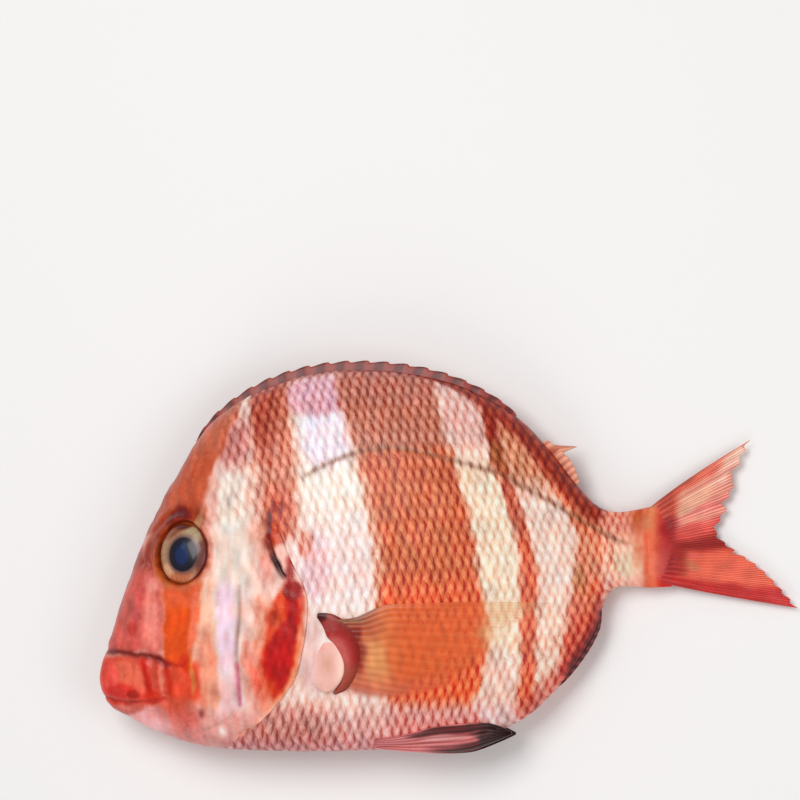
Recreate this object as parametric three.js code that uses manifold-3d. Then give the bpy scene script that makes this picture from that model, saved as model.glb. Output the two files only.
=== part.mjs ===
// A whole raw sea bream that lies on its right flank, with its left flank up.
// Millimetres. The head points to -X, the tail to +X, the back to +Y, and up is +Z.
// The origin is at the middle of the fish's box, on the surface that it lies on.
import * as THREE from "three";
import { mergeVertices } from "three/addons/utils/BufferGeometryUtils.js";
import Module from "manifold-3d";

const wasm = await Module();
wasm.setup();

// Outline of the body without its fins, from the snout tip to the root of the tail.
const BACK_LINE = [
  [0, 0], [0.9, 8.3], [4, 17.5], [9.5, 35], [18, 57], [31, 80.5], [43, 101], [58, 114], [78, 123],
  [102, 127], [130, 125.6], [154, 119.6], [176, 107.8], [192, 91.5], [203, 76.7], [211, 69], [219.5, 67],
  [232, 68.8],
];
const BELLY_LINE = [
  [0, 0], [0.9, -6], [4.5, -10.9], [12, -15.2], [24, -21.6], [38, -26.2], [58, -29], [88, -30],
  [120, -29.5], [147, -28.1], [165, -23.8], [181, -16], [194, -4], [203.5, 8.5], [209.5, 19],
  [211.5, 27], [214.5, 33.8], [219.5, 36.4], [232, 35.7],
];

// Half of the thickness from flank to flank, against the share of the way from snout to tail.
const HALF_THICKNESS = [
  [0, 0], [0.01, 3.6], [0.03, 6.6], [0.06, 9.2], [0.1, 12], [0.16, 15.4], [0.23, 18.6], [0.32, 22.4],
  [0.42, 25], [0.52, 25], [0.62, 22.6], [0.72, 18.2], [0.81, 13.2], [0.89, 9], [0.95, 6.4], [1, 4.8],
];
// Height of the middle plane over the surface, against x: the limp tail end sags.
const MIDDLE_HEIGHT = [
  [0, 20], [40, 21.5], [75, 21], [120, 20], [160, 17], [200, 11], [232, 6.6], [262, 3.8], [300, 2.4],
];
const FLANK_FULLNESS = 2.3; // exponent of the cross-section, 2 is an ellipse
const LOW_SIDE = 0.92; // the flank that carries the weight is pressed flatter

// Loft
const HEAD_STATIONS = 26;
const BODY_STATIONS = 20;
const HEAD_SHARE = 0.36;
const RING_POINTS = 38;

// Eyes
const EYE_AT = [41.5, 51.6];
const EYE_RADII = [10.6, 11.7, 6.2];
const EYE_SINK = 3.8;
const SOCKET_GAP = 0.3;
const ORBIT_AT = [40.8, 53];
const ORBIT_RADII = [12.3, 13.9];
const ORBIT_RIM = 1.7;
const ORBIT_STEPS = 30;
const ORBIT_SIDES = 6;

// Gill cover: its free rear edge, how far it reaches forward, and how much it stands proud
const GILL_EDGE = [
  [80, 64], [84.5, 54], [87.5, 43], [94.5, 34.5], [97.4, 26], [96, 14], [92, 3], [84, -7.5], [72, -18.5],
  [60, -26],
];
const GILL_REACH = [-27, 3];
const GILL_STEP = 2;
const GILL_ROOT = 1.2;

// Creases of the mouth and cheek: width of the cut and the lines on the flank
const CREASE_RADIUS = 1;
const MOUTH_LINE = [[6, -6.6], [14, -8.6], [24, -8.6], [32, -7]];
const LIP_LINE = [[7, 12.4], [15, 10.8], [24, 9.4], [32, 6]];
const JAW_LINE = [[32, 6], [33.8, 0], [32, -7]];
const CHEEK_LINE = [[67.9, 35.5], [68.3, 21], [67.2, 5], [65, -10.3]];

// Tail fin
const TAIL_RAYS = 17;
const TAIL_ROWS = 6;
const TAIL_ROOT = [[227, 67.4], [227, 37.4]];
const TAIL_REAR = [
  [272, 95.6], [269, 89.5], [266.2, 82], [264.4, 74.5], [261.8, 67], [257.6, 59.4], [260.6, 54.4], [267.4, 49.4],
  [275.5, 43.4], [283, 35.8], [290.5, 27],
];
const TAIL_BULGE = [9, 3.4]; // how far the leading edges bow outwards at the upper and lower lobe
const TAIL_TOOTH = 2.6;
const TAIL_THICKNESS = [4.6, 0.9];
const TAIL_RIDGE = 0.5;
const TAIL_WAVE = 0.7;

// Pectoral fin on the flank
const PECTORAL_ROOT = [[107, 24.4], [107, -7]];
const PECTORAL_REAR = [[186, 23], [176, 15], [166, 7.6], [151, -1], [130, -7.2]];
const PECTORAL_RAYS = 11;
const PECTORAL_ROWS = 6;
const PECTORAL_PROUD = [1.6, 0.8];
const LOBE_AT = [104.8, 6.2];
const LOBE_RADII = [6.5, 13, 3.4];

// Fins on the edge of the body
const FIN_SUNK = 4;
const DORSAL_SPAN = [0.325, 0.78];
const DORSAL_HEIGHT = 5;
const DORSAL_SPINES = 18;
const DORSAL_END = [[188, 95.4], [197, 84.6], [206, 93.2], [191, 96.6]];
const ANAL_SPAN = [0.785, 0.9];
const ANAL_HEIGHT = 4.2;
const ANAL_RAYS = 10;
const EDGE_FIN_THICKNESS = [2.6, 1.1];
const PELVIC_UPPER = [[120, -24], [136, -21], [150, -19.6], [168, -19.4], [175.5, -22.6]];
const PELVIC_LOWER = [[119, -28.6], [132, -30.2], [146, -31], [160, -30.4], [175.5, -23.8]];
const PELVIC_PROUD = 1.2;
const SHEET_SUNK = 1;

const vectors = (points) => points.map(([x, y]) => new THREE.Vector2(x, y));
const backLine = new THREE.SplineCurve(vectors(BACK_LINE));
const bellyLine = new THREE.SplineCurve(vectors(BELLY_LINE));
backLine.arcLengthDivisions = 400;
bellyLine.arcLengthDivisions = 400;

// A smooth function through knots [place, value], held constant beyond its ends.
function through(knots) {
  const places = new Float32Array(knots.map(([place]) => place));
  const values = new Float32Array(knots.map(([, value]) => value));
  const smooth = new THREE.CubicInterpolant(places, values, 1);
  const first = places[0];
  const last = places[places.length - 1];
  return (place) => smooth.evaluate(THREE.MathUtils.clamp(place, first, last))[0];
}
const halfThickness = through(HALF_THICKNESS);
const middleHeight = through(MIDDLE_HEIGHT);

// Height of one flank over or under the middle plane, at station s and at t from -1 (belly) to 1 (back).
function flankRise(s, t) {
  const section = 1 - Math.abs(t) ** FLANK_FULLNESS;
  return halfThickness(s) * Math.sqrt(Math.max(section, 0));
}

// A point of the skin: side 1 is the upper flank and side -1 the lower one, cut flat where it rests.
function skinPoint(s, t, side) {
  const back = backLine.getPointAt(s);
  const belly = bellyLine.getPointAt(s);
  const share = (t + 1) / 2;
  const x = THREE.MathUtils.lerp(belly.x, back.x, share);
  const y = THREE.MathUtils.lerp(belly.y, back.y, share);
  const rise = flankRise(s, t);
  const z = middleHeight(x) + (side > 0 ? rise : -LOW_SIDE * rise);
  return new THREE.Vector3(x, y, Math.max(z, 0));
}

// The station s and place t of a plan point, by halving: the cross-lines sweep from snout to tail.
function stationOf(x, y) {
  let near = 0;
  let far = 1;
  for (let step = 0; step < 30; step += 1) {
    const s = (near + far) / 2;
    const back = backLine.getPointAt(s);
    const belly = bellyLine.getPointAt(s);
    const behind = (back.x - belly.x) * (y - belly.y) - (back.y - belly.y) * (x - belly.x) < 0;
    if (behind) near = s;
    else far = s;
  }
  const s = (near + far) / 2;
  const back = backLine.getPointAt(s);
  const belly = bellyLine.getPointAt(s);
  const across = back.clone().sub(belly);
  const share = new THREE.Vector2(x, y).sub(belly).dot(across) / across.lengthSq();
  return { s, t: 2 * share - 1 };
}

// The skin over a plan point. Beyond the outline the height of the edge is kept.
function skinOver(x, y, side) {
  const { s, t } = stationOf(x, y);
  const point = skinPoint(s, THREE.MathUtils.clamp(t, -0.985, 0.985), side);
  return new THREE.Vector3(x, y, point.z);
}

// The direction that the skin faces over a plan point.
function skinFacing(x, y, side) {
  const reach = 1.5;
  const alongX = skinOver(x + reach, y, side).sub(skinOver(x - reach, y, side));
  const alongY = skinOver(x, y + reach, side).sub(skinOver(x, y - reach, side));
  return alongX.cross(alongY).normalize().multiplyScalar(side);
}

// A closed geometry as a solid: its like points are merged, and its faces turned to point out.
function solidOf(geometry) {
  const bare = geometry.clone();
  bare.deleteAttribute("normal");
  bare.deleteAttribute("uv");
  const merged = mergeVertices(bare, 1e-4);
  const vertProperties = new Float32Array(merged.attributes.position.array);
  const triVerts = new Uint32Array(merged.index.array);
  const solid = new wasm.Manifold(new wasm.Mesh({ numProp: 3, vertProperties, triVerts }));
  if (solid.volume() > 0) return solid;
  for (let k = 0; k < triVerts.length; k += 3) {
    [triVerts[k + 1], triVerts[k + 2]] = [triVerts[k + 2], triVerts[k + 1]];
  }
  return new wasm.Manifold(new wasm.Mesh({ numProp: 3, vertProperties, triVerts }));
}

// A solid back as a geometry.
function geometryOf(solid) {
  const mesh = solid.getMesh();
  const geometry = new THREE.BufferGeometry();
  geometry.setAttribute("position", new THREE.BufferAttribute(new Float32Array(mesh.vertProperties), 3));
  geometry.setIndex([...mesh.triVerts]);
  geometry.computeVertexNormals();
  return geometry;
}

function geometryFrom(points, faces) {
  const geometry = new THREE.BufferGeometry();
  geometry.setAttribute("position", new THREE.Float32BufferAttribute(points.flatMap((p) => p.toArray()), 3));
  geometry.setIndex(faces);
  return geometry;
}

// The body: rings round the fish at stations that are closer together on the head.
function bodySolid() {
  const stations = [];
  for (let i = 1; i <= HEAD_STATIONS; i += 1) stations.push(HEAD_SHARE * (i / HEAD_STATIONS) ** 1.35);
  for (let i = 1; i <= BODY_STATIONS; i += 1) {
    stations.push(HEAD_SHARE + (1 - HEAD_SHARE) * (i / BODY_STATIONS));
  }
  const points = [new THREE.Vector3(0, 0, middleHeight(0))];
  for (const s of stations) {
    for (let j = 0; j < RING_POINTS; j += 1) {
      const angle = (2 * Math.PI * j) / RING_POINTS;
      points.push(skinPoint(s, -Math.cos(angle), Math.sin(angle) >= -1e-9 ? 1 : -1));
    }
  }
  const end = points.length;
  const tail = skinPoint(1, 0, 1);
  points.push(new THREE.Vector3(tail.x, tail.y, middleHeight(tail.x)));
  const faces = [];
  const at = (ring, j) => 1 + ring * RING_POINTS + (j % RING_POINTS);
  for (let j = 0; j < RING_POINTS; j += 1) {
    faces.push(0, at(0, j + 1), at(0, j));
    faces.push(end, at(stations.length - 1, j), at(stations.length - 1, j + 1));
    for (let ring = 0; ring + 1 < stations.length; ring += 1) {
      faces.push(at(ring, j), at(ring, j + 1), at(ring + 1, j));
      faces.push(at(ring + 1, j), at(ring, j + 1), at(ring + 1, j + 1));
    }
  }
  return solidOf(geometryFrom(points, faces));
}

// A thin solid between two like grids: place(u, v) gives its top and bottom points.
function sheetSolid(columns, rows, place) {
  const tops = [];
  const bottoms = [];
  for (let j = 0; j <= rows; j += 1) {
    for (let i = 0; i <= columns; i += 1) {
      const { top, bottom } = place(i / columns, j / rows);
      tops.push(top);
      bottoms.push(bottom);
    }
  }
  const points = [...tops, ...bottoms];
  const low = tops.length;
  const at = (i, j) => j * (columns + 1) + i;
  const faces = [];
  for (let j = 0; j < rows; j += 1) {
    for (let i = 0; i < columns; i += 1) {
      const [a, b, c, d] = [at(i, j), at(i + 1, j), at(i + 1, j + 1), at(i, j + 1)];
      faces.push(a, b, c, a, c, d);
      faces.push(low + a, low + c, low + b, low + a, low + d, low + c);
    }
  }
  const rim = [];
  for (let i = 0; i < columns; i += 1) rim.push([at(i, 0), at(i + 1, 0)]);
  for (let j = 0; j < rows; j += 1) rim.push([at(columns, j), at(columns, j + 1)]);
  for (let i = columns; i > 0; i -= 1) rim.push([at(i, rows), at(i - 1, rows)]);
  for (let j = rows; j > 0; j -= 1) rim.push([at(0, j), at(0, j - 1)]);
  for (const [a, b] of rim) faces.push(a, low + b, b, a, low + a, low + b);
  return solidOf(geometryFrom(points, faces));
}

// 1 on a ray and 0 between two rays, for column u of a fin.
const onRay = (u, rays) => 0.5 + 0.5 * Math.cos(2 * Math.PI * rays * u);

// The tail fin: rays fan out from the root to a forked, toothed rear edge.
function tailSolid() {
  const rear = new THREE.SplineCurve(vectors(TAIL_REAR));
  const [rootTop, rootLow] = vectors(TAIL_ROOT);
  return sheetSolid(2 * TAIL_RAYS, TAIL_ROWS, (u, v) => {
    const root = rootTop.clone().lerp(rootLow, u);
    const tip = rear.getPointAt(u);
    tip.x += TAIL_TOOTH * (onRay(u, TAIL_RAYS) - 0.5);
    const bow = (0.5 - u > 0 ? TAIL_BULGE[0] : -TAIL_BULGE[1]) * (2 * Math.abs(0.5 - u)) ** 2;
    const spot = root.lerp(tip, v);
    spot.y += bow * v * (1 - v) * (1 - 0.5 * v);
    const ridge = TAIL_RIDGE * onRay(u, TAIL_RAYS) * (1 - v);
    const half = THREE.MathUtils.lerp(TAIL_THICKNESS[0], TAIL_THICKNESS[1], v ** 0.6) / 2 + ridge;
    const z = middleHeight(spot.x) + TAIL_WAVE * v * Math.sin(7 * u + 0.6);
    return {
      top: new THREE.Vector3(spot.x, spot.y, z + half),
      bottom: new THREE.Vector3(spot.x, spot.y, Math.max(z - half, 0)),
    };
  });
}

// A sheet that lies on a flank: plan(u, v) is its plan point and proud(u, v) how far it stands out.
function flankSheet(columns, rows, side, plan, proud) {
  return sheetSolid(columns, rows, (u, v) => {
    const spot = plan(u, v);
    const skin = skinOver(spot.x, spot.y, side);
    const outer = Math.max(skin.z + side * proud(u, v), 0);
    return {
      top: new THREE.Vector3(spot.x, spot.y, outer),
      bottom: new THREE.Vector3(spot.x, spot.y, skin.z - side * SHEET_SUNK),
    };
  });
}

// The pectoral fin lies back along the upper flank, behind its fleshy lobe.
function pectoralSolid() {
  const rear = new THREE.SplineCurve(vectors(PECTORAL_REAR));
  const [rootTop, rootLow] = vectors(PECTORAL_ROOT);
  const plan = (u, v) => rootTop.clone().lerp(rootLow, u).lerp(rear.getPointAt(u), v);
  const proud = (u, v) =>
    THREE.MathUtils.lerp(PECTORAL_PROUD[0], PECTORAL_PROUD[1], v) + 0.4 * onRay(u, PECTORAL_RAYS) * (1 - v);
  return flankSheet(2 * PECTORAL_RAYS, PECTORAL_ROWS, 1, plan, proud);
}

function lobeSolid() {
  const lobe = new THREE.SphereGeometry(1, 16, 10).scale(...LOBE_RADII);
  const skin = skinOver(...LOBE_AT, 1);
  return solidOf(lobe.translate(skin.x, skin.y, skin.z - 0.6));
}

// The gill cover rises out of the cheek towards its free rear edge.
function gillCover(side) {
  const edge = new THREE.SplineCurve(vectors(GILL_EDGE));
  const plan = (u, v) => {
    const spot = edge.getPointAt(u);
    const ahead = (1 - v) * (0.35 + 0.65 * Math.sin(Math.PI * u));
    return spot.add(new THREE.Vector2(...GILL_REACH).multiplyScalar(ahead));
  };
  const proud = (u, v) => -GILL_ROOT * (1 - v) + GILL_STEP * v * Math.sin(Math.PI * u) ** 0.4;
  return flankSheet(22, 4, side, plan, proud);
}

// A folded fin on the edge of the body: a strip in the middle plane with saw-like ray tips.
function edgeFin(line, outward, span, height, rays) {
  const columns = rays * 2;
  return sheetSolid(columns, 2, (u, v) => {
    const s = THREE.MathUtils.lerp(span[0], span[1], u);
    const spot = line.getPointAt(s);
    const along = line.getTangentAt(s);
    const out = new THREE.Vector2(-along.y, along.x).multiplyScalar(outward);
    const rise = Math.sin(Math.PI * u) ** 0.45 * (0.72 + 0.28 * onRay(u, rays));
    spot.addScaledVector(out, -FIN_SUNK + v * (FIN_SUNK + height * rise));
    spot.addScaledVector(along, 1.6 * v * rise);
    const half = THREE.MathUtils.lerp(EDGE_FIN_THICKNESS[0], EDGE_FIN_THICKNESS[1], v) / 2;
    const z = middleHeight(spot.x);
    return {
      top: new THREE.Vector3(spot.x, spot.y, z + half),
      bottom: new THREE.Vector3(spot.x, spot.y, z - half),
    };
  });
}

// The rear end of the dorsal fin stands off the back as a small flap.
function dorsalEnd() {
  const [front, rear, tip, top] = vectors(DORSAL_END);
  return sheetSolid(6, 3, (u, v) => {
    const inner = front.clone().lerp(rear, u).add(new THREE.Vector2(-FIN_SUNK, -FIN_SUNK));
    const spot = inner.lerp(top.clone().lerp(tip, u), v);
    const half = 0.6;
    const z = middleHeight(spot.x) + 0.8 * v;
    return {
      top: new THREE.Vector3(spot.x, spot.y, z + half),
      bottom: new THREE.Vector3(spot.x, spot.y, z - half),
    };
  });
}

// A pelvic fin folds back along the belly, one on each flank.
function pelvicSolid(side) {
  const upper = new THREE.SplineCurve(vectors(PELVIC_UPPER));
  const lower = new THREE.SplineCurve(vectors(PELVIC_LOWER));
  const plan = (u, v) => upper.getPointAt(v).lerp(lower.getPointAt(v), u);
  const proud = (u, v) => PELVIC_PROUD * (1 - 0.3 * v) + 0.3 * onRay(u, 4);
  return flankSheet(8, 14, side, plan, proud);
}

// A body of revolution or ball turned from +Z to the skin's facing and set over a plan point.
function setOnSkin(geometry, [x, y], side, sink) {
  const skin = skinOver(x, y, side);
  const facing = skinFacing(x, y, side);
  const turn = new THREE.Quaternion().setFromUnitVectors(new THREE.Vector3(0, 0, 1), facing);
  const place = skin.addScaledVector(facing, -sink);
  return geometry.applyQuaternion(turn).translate(place.x, place.y, place.z);
}

function eyeBall(side, gap) {
  const ball = new THREE.SphereGeometry(1, 24, 14).rotateX(Math.PI / 2);
  ball.scale(...EYE_RADII.map((radius) => radius + gap));
  return solidOf(setOnSkin(ball, EYE_AT, side, EYE_SINK));
}

// The raised rim of the orbit: a round bead that follows the skin round the eye.
function orbitRim(side) {
  const points = [];
  const faces = [];
  const at = (i, j) => (i % ORBIT_STEPS) * ORBIT_SIDES + (j % ORBIT_SIDES);
  for (let i = 0; i < ORBIT_STEPS; i += 1) {
    const turn = (2 * Math.PI * i) / ORBIT_STEPS;
    const [x, y] = [ORBIT_AT[0] + ORBIT_RADII[0] * Math.cos(turn), ORBIT_AT[1] + ORBIT_RADII[1] * Math.sin(turn)];
    const facing = skinFacing(x, y, side);
    const outward = new THREE.Vector3(Math.cos(turn), Math.sin(turn), 0);
    outward.addScaledVector(facing, -outward.dot(facing)).normalize();
    const centre = skinOver(x, y, side).addScaledVector(facing, -ORBIT_RIM / 2);
    for (let j = 0; j < ORBIT_SIDES; j += 1) {
      const round = (2 * Math.PI * j) / ORBIT_SIDES;
      const spot = centre.clone().addScaledVector(outward, ORBIT_RIM * Math.cos(round));
      points.push(spot.addScaledVector(facing, ORBIT_RIM * Math.sin(round)));
      faces.push(at(i, j), at(i + 1, j), at(i, j + 1), at(i, j + 1), at(i + 1, j), at(i + 1, j + 1));
    }
  }
  return solidOf(geometryFrom(points, faces));
}

// A crease: a thin rod sunk half into the skin along a line, and cut away.
function crease(points, side) {
  const flat = new THREE.SplineCurve(vectors(points));
  const path = new THREE.CatmullRomCurve3(
    flat.getSpacedPoints(8).map((spot) => skinOver(spot.x, spot.y, side)),
  );
  const section = new THREE.Shape();
  section.absarc(0, 0, CREASE_RADIUS, 0, 2 * Math.PI, false);
  const rod = new THREE.ExtrudeGeometry(section, { steps: 9, curveSegments: 3, extrudePath: path });
  return solidOf(rod);
}

const added = [tailSolid(), pectoralSolid(), lobeSolid(), dorsalEnd()];
added.push(edgeFin(backLine, 1, DORSAL_SPAN, DORSAL_HEIGHT, DORSAL_SPINES));
added.push(edgeFin(bellyLine, -1, ANAL_SPAN, ANAL_HEIGHT, ANAL_RAYS));
for (const side of [1, -1]) added.push(gillCover(side), orbitRim(side), pelvicSolid(side));
const cut = [];
for (const side of [1, -1]) {
  cut.push(eyeBall(side, SOCKET_GAP));
  for (const line of [MOUTH_LINE, LIP_LINE, JAW_LINE, CHEEK_LINE]) cut.push(crease(line, side));
}
let fishSolid = bodySolid();
for (const piece of added) fishSolid = fishSolid.add(piece);
for (const piece of cut) fishSolid = fishSolid.subtract(piece);

const skinFinish = new THREE.MeshStandardMaterial({ color: 0xe0866a, roughness: 0.35, metalness: 0 });
const eyeFinish = new THREE.MeshStandardMaterial({ color: 0x1a2440, roughness: 0.1, metalness: 0 });

const fish = new THREE.Mesh(geometryOf(fishSolid), skinFinish);
fish.name = "fish";
const leftEye = new THREE.Mesh(geometryOf(eyeBall(1, 0)), eyeFinish);
leftEye.name = "eye_left";
const rightEye = new THREE.Mesh(geometryOf(eyeBall(-1, 0)), eyeFinish);
rightEye.name = "eye_right";

const part = new THREE.Group();
part.add(fish, leftEye, rightEye);
const box = new THREE.Box3().setFromObject(part);
const middle = box.getCenter(new THREE.Vector3());
part.position.set(-middle.x, -middle.y, -box.min.z);

export default part;
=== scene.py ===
"""The looks of a whole raw sea bream on its side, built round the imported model.

Every surface is worked out in plan millimetres: x runs from the snout tip to the tail, y from the
belly to the back and z up from the surface that the fish lies on. Plan.world turns them into metres
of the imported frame.
"""

from __future__ import annotations

import logging
import math
import sys
from dataclasses import dataclass, field
from enum import Enum
from typing import Any, Sequence

import bpy
import numpy as np
from mathutils import Matrix, Vector


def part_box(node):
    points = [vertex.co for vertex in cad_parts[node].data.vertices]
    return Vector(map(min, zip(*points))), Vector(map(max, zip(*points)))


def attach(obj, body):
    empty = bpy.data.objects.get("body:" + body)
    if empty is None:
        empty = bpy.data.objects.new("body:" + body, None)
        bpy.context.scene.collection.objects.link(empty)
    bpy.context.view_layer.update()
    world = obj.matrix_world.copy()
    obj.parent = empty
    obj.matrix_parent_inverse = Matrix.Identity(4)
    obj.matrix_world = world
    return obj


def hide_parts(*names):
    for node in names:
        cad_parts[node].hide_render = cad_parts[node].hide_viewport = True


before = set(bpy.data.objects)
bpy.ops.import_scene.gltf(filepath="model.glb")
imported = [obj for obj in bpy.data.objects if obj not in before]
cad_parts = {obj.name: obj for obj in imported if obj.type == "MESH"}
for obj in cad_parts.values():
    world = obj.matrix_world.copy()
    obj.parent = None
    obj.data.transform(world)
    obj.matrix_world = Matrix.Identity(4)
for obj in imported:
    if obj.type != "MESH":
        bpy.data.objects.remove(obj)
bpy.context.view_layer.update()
FISH_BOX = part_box("fish")

log = logging.getLogger("fish")
PICTURE = 800  # pixels a side
Array = np.ndarray
Colour = tuple[int, int, int]
Points = Sequence[tuple[float, float]]
MM = 0.001
PELVIC_LOW = -31.16  # plan y of the lowest fin edge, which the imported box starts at


# Small functions on arrays


def ramp(value: Array, low: float | Array, high: float | Array) -> Array:
    """A smooth step: 0 up to low, 1 from high on, and 3w^2 - 2w^3 between them."""
    share = np.clip((value - low) / (high - low), 0, 1)
    return share * share * (3 - 2 * share)


def bell(value: Array, centre: float | Array, width: float | Array) -> Array:
    """A bump: exp(-((value - centre) / width)^2)."""
    return np.exp(-(((value - centre) / width) ** 2))


def window(value: Array, low: float | Array, high: float | Array, soft: float = 1.0) -> Array:
    """1 between low and high, and 0 outside, with edges as wide as soft on either side."""
    return ramp(value, low - soft, low + soft) * (1 - ramp(value, high - soft, high + soft))


def ellipse(x: Array, y: Array, centre: tuple[float, float], radii: tuple[float, float], turn: float = 0) -> Array:
    """Distance from a centre as a share of an ellipse's radius, with the ellipse turned by turn degrees.

    Args:
        x, y: plan points, in mm.
        centre: the ellipse's middle.
        radii: its half widths along and across.
        turn: its turn, in degrees.

    Returns:
        The share of the radius, 1 on the ellipse.
    """
    cosine, sine = math.cos(math.radians(turn)), math.sin(math.radians(turn))
    along, across = x - centre[0], y - centre[1]
    return np.hypot((along * cosine + across * sine) / radii[0], (across * cosine - along * sine) / radii[1])


def blob(x: Array, y: Array, centre: tuple[float, float], radii: tuple[float, float], turn: float = 0) -> Array:
    """A soft spot: 1 well inside the ellipse, 0.5 near its edge and 0 outside."""
    return 1 - ramp(ellipse(x, y, centre, radii, turn), 0.7, 1.3)


def stroke(x: Array, y: Array, knots: Points) -> Array:
    """Distance in mm from each point to a smooth line: the least over the line's short straight pieces.

    Args:
        x, y: plan points, in mm.
        knots: points that the line runs through.

    Returns:
        The distances, in mm.
    """
    line = Curve2(tuple(knots)).at(np.linspace(0, 1, 8 * len(knots)))
    nearest = np.full(np.shape(x), np.inf)
    for start, end in zip(line[:-1], line[1:]):
        step = end - start
        share = ((x - start[0]) * step[0] + (y - start[1]) * step[1]) / max(step @ step, 1e-9)
        share = np.clip(share, 0, 1)
        nearest = np.minimum(nearest, np.hypot(x - start[0] - share * step[0], y - start[1] - share * step[1]))
    return nearest


def line_x(y: Array, *knots: tuple[float, float]) -> Array:
    """The x at height y of a line that runs straight between its knots (x, y)."""
    table = np.array(sorted(knots, key=lambda knot: knot[1]), float)
    return np.interp(y, table[:, 1], table[:, 0])


def line_y(x: Array, *knots: tuple[float, float]) -> Array:
    """The y at x of a line that runs straight between its knots (x, y)."""
    table = np.array(knots, float)
    return np.interp(x, table[:, 0], table[:, 1])


def wobble(x: Array, y: Array, size: float, seed: int = 0) -> Array:
    """A smooth irregular field from -1 to 1: a sum of sines of seeded directions, about size mm apart.

    Args:
        x, y: plan points, in mm.
        size: about the distance of the crests, in mm.
        seed: the seed of directions and shifts.

    Returns:
        The field's values.
    """
    dice = np.random.default_rng(seed)
    total = np.zeros(np.shape(x))
    waves = 7
    draws = [dice.uniform(low, high, waves) for low, high in ((0, math.pi), (0, 7), (0.7, 1.5))]
    for turn, shift, scale in zip(*draws):
        pace = 2 * math.pi / (size * scale)
        total += np.sin(pace * (x * math.cos(turn) + y * math.sin(turn)) + shift)
    return total / waves * 1.6


def linear(colour: Colour | Array) -> Array:
    """Display values from 0 to 255 as linear light: ((c / 255 + 0.055) / 1.055)^2.4, c / 3295 near black."""
    share = np.asarray(colour, float) / 255
    return np.where(share <= 0.04045, share / 12.92, ((share + 0.055) / 1.055) ** 2.4)


# The form of the fish


@dataclass(frozen=True)
class Curve2:
    """A smooth line through plan points (uniform Catmull-Rom), walked by the share of its length."""

    knots: tuple[tuple[float, float], ...]
    samples: int = 1600

    def __post_init__(self) -> None:
        """Sample the line once, with the share of the length at each sample."""
        knots = np.array(self.knots, float)
        last = len(knots) - 1
        place = np.linspace(0, last, self.samples)
        k = np.minimum(place.astype(int), last - 1)
        w = (place - k)[:, None]
        before, here, there = knots[np.maximum(k - 1, 0)], knots[k], knots[k + 1]
        after = knots[np.minimum(k + 2, last)]
        leave, arrive = (there - before) / 2, (after - here) / 2
        line = (2 * here - 2 * there + leave + arrive) * w**3
        line += (-3 * here + 3 * there - 2 * leave - arrive) * w**2 + leave * w + here
        length = np.concatenate([[0], np.cumsum(np.linalg.norm(np.diff(line, axis=0), axis=1))])
        object.__setattr__(self, "line", line)
        object.__setattr__(self, "share", length / length[-1])

    def at(self, share: Array | float) -> Array:
        """Plan points at shares of the length."""
        return np.stack([np.interp(share, self.share, self.line[:, i]) for i in (0, 1)], -1)

    def outward(self, share: Array, left: bool = True) -> Array:
        """Unit vectors across the line, to its left or its right.

        Args:
            share: shares of the length.
            left: whether the vectors point to the left.

        Returns:
            Unit vectors on the plan.
        """
        step = self.at(np.clip(share + 0.004, 0, 1)) - self.at(np.clip(share - 0.004, 0, 1))
        step /= np.linalg.norm(step, axis=-1, keepdims=True)
        return np.stack([-step[..., 1], step[..., 0]], -1) * (1 if left else -1)


@dataclass(frozen=True)
class Profile:
    """A smooth function through knots (place, value): a cubic with the knots' own slopes on each stretch."""

    knots: tuple[tuple[float, float], ...]

    def __call__(self, place: Array) -> Array:
        """The value at each place, held constant beyond the ends.

        Args:
            place: where to read the function.

        Returns:
            The values there.
        """
        knots = np.array(self.knots, float)
        slope = np.gradient(knots[:, 1], knots[:, 0])
        place = np.clip(place, knots[0, 0], knots[-1, 0])
        i = np.clip(np.searchsorted(knots[:, 0], place) - 1, 0, len(knots) - 2)
        span = knots[i + 1, 0] - knots[i, 0]
        w = (place - knots[i, 0]) / span
        ends = (2 * w**3 - 3 * w**2 + 1) * knots[i, 1] + (3 * w**2 - 2 * w**3) * knots[i + 1, 1]
        return ends + (w**3 - 2 * w**2 + w) * span * slope[i] + (w**3 - w**2) * span * slope[i + 1]


class Side(Enum):
    """The flank that shows, and the one that the fish lies on."""

    UPPER = 1
    LOWER = -1


@dataclass(frozen=True)
class Plan:
    """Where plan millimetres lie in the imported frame: the snout tip is the low x of the fish's box."""

    low: tuple[float, float, float] = tuple(FISH_BOX[0])

    def world(self, points: Array) -> Array:
        """Plan millimetres as metres of the frame."""
        origin = np.array([self.low[0], self.low[1] - PELVIC_LOW * MM, self.low[2]])
        return np.asarray(points, float) * MM + origin


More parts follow.
